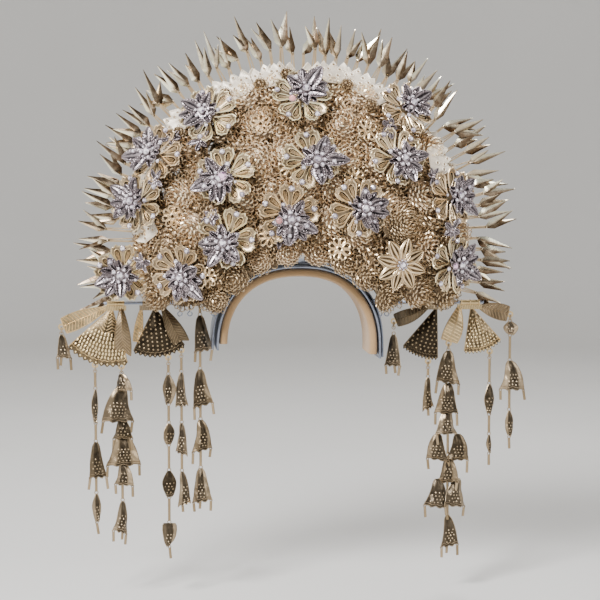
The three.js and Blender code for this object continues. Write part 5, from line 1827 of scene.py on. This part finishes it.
class CROWN_OT_stage(bpy.types.Operator):
    """Set the floor, the lights and the camera"""
    bl_idname = "crown.stage"
    bl_label = "Stage"

    FLOOR = -0.325
    AIM = Vector((0.004, 0.0, -0.025))
    DISTANCE = 1.8
    LENS = 108
    AZIMUTH = math.radians(-6)
    ELEVATION = math.radians(5)
    PAPER = ((0.66, 0.65, 0.63), (0.72, 0.71, 0.69))
    SKY = (0.58, 0.57, 0.56, 1)
    SKY_STRENGTH = 0.28
    LIGHTS = [
        Light("key", (-1.1, -1.4, 1.5), 0.7, 100),
        Light("fill", (1.7, -0.9, 0.7), 1.2, 14),
        Light("top", (0.3, 0.8, 1.6), 0.9, 24),
    ]

    def execute(self, context):
        self.backdrop()
        for light in self.LIGHTS:
            self.light(light)
        world = bpy.data.worlds.new("studio")
        context.scene.world = world
        world.use_nodes = True
        sky = world.node_tree.nodes["Background"].inputs
        sky["Color"].default_value = self.SKY
        sky["Strength"].default_value = self.SKY_STRENGTH
        self.camera(context)
        return {"FINISHED"}

    def backdrop(self):
        """A pale floor that curves up into a wall all round."""
        flat, bend, top, sides = 2.3, 0.9, 2.8, 96
        curve = np.linspace(0, math.pi / 2, 17)
        profile = [(flat + bend * math.sin(a), self.FLOOR + bend * (1 - math.cos(a))) for a in curve]
        profile.append((flat + bend, top))
        points = [(r * math.cos(a), r * math.sin(a), z) for r, z in profile for a in full_turn(sides)]
        faces = [tuple(range(sides))]
        for row in range(len(profile) - 1):
            for j in range(sides):
                k = (j + 1) % sides
                faces.append((row * sides + j, (row + 1) * sides + j, (row + 1) * sides + k, row * sides + k))
        mesh = bpy.data.meshes.new("backdrop")
        mesh.from_pydata(points, [], faces)
        mesh.polygons.foreach_set("use_smooth", [True] * len(faces))
        finish = Finish("pale_paper")
        colour = finish.ramp(finish.noise(3), *self.PAPER)
        finish.feed(finish.shader, {"Base Color": colour, "Roughness": 0.9})
        mesh.materials.append(finish.material)
        paper = bpy.data.objects.new("backdrop", mesh)
        bpy.context.scene.collection.objects.link(paper)
        paper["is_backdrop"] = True

    def light(self, light):
        data = bpy.data.lights.new(light.name, "AREA")
        data.size = light.size
        data.energy = light.power
        lamp = bpy.data.objects.new(light.name, data)
        lamp.location = light.place
        lamp.rotation_euler = (self.AIM - Vector(light.place)).to_track_quat("-Z", "Y").to_euler()
        bpy.context.scene.collection.objects.link(lamp)

    def camera(self, context):
        data = bpy.data.cameras.new("camera")
        data.lens = self.LENS
        away = Vector((math.sin(self.AZIMUTH) * math.cos(self.ELEVATION),
                       -math.cos(self.AZIMUTH) * math.cos(self.ELEVATION), math.sin(self.ELEVATION)))
        camera = bpy.data.objects.new("camera", data)
        camera.location = self.AIM + self.DISTANCE * away
        camera.rotation_euler = (-away).to_track_quat("-Z", "Y").to_euler()
        context.scene.collection.objects.link(camera)
        context.scene.camera = camera


OPERATORS = (
    CROWN_OT_headband, CROWN_OT_frame, CROWN_OT_rosettes, CROWN_OT_flowers, CROWN_OT_pointed_flower,
    CROWN_OT_crest, CROWN_OT_spikes, CROWN_OT_pendants, CROWN_OT_strings, CROWN_OT_stage,
)


class CROWN_PT_panel(bpy.types.Panel):
    """The crown's sizes, colours and pieces"""
    bl_idname = "CROWN_PT_panel"
    bl_label = "Bridal crown"
    bl_space_type = "VIEW_3D"
    bl_region_type = "UI"
    bl_category = "Crown"

    def draw(self, context):
        for group in (context.scene.crown_sizes, context.scene.crown_colours):
            for name in group.__annotations__:
                self.layout.prop(group, name)
        for operator in OPERATORS:
            self.layout.operator(operator.bl_idname)


CLASSES = (CrownSizes, CrownColours, *OPERATORS, CROWN_PT_panel)


def register():
    for cls in CLASSES:
        bpy.utils.register_class(cls)
    bpy.types.Scene.crown_sizes = PointerProperty(type=CrownSizes)
    bpy.types.Scene.crown_colours = PointerProperty(type=CrownColours)


def unregister():
    del bpy.types.Scene.crown_colours
    del bpy.types.Scene.crown_sizes
    for cls in reversed(CLASSES):
        bpy.utils.unregister_class(cls)


def main():
    register()
    for operator in OPERATORS:
        group, name = operator.bl_idname.split(".")
        getattr(getattr(bpy.ops, group), name)()
    boxes = {"cad": CAD_BOX, "visual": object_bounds()}
    {name: [list(corner) for corner in box] for name, box in boxes.items()}


if __name__ == "__main__":
    main()
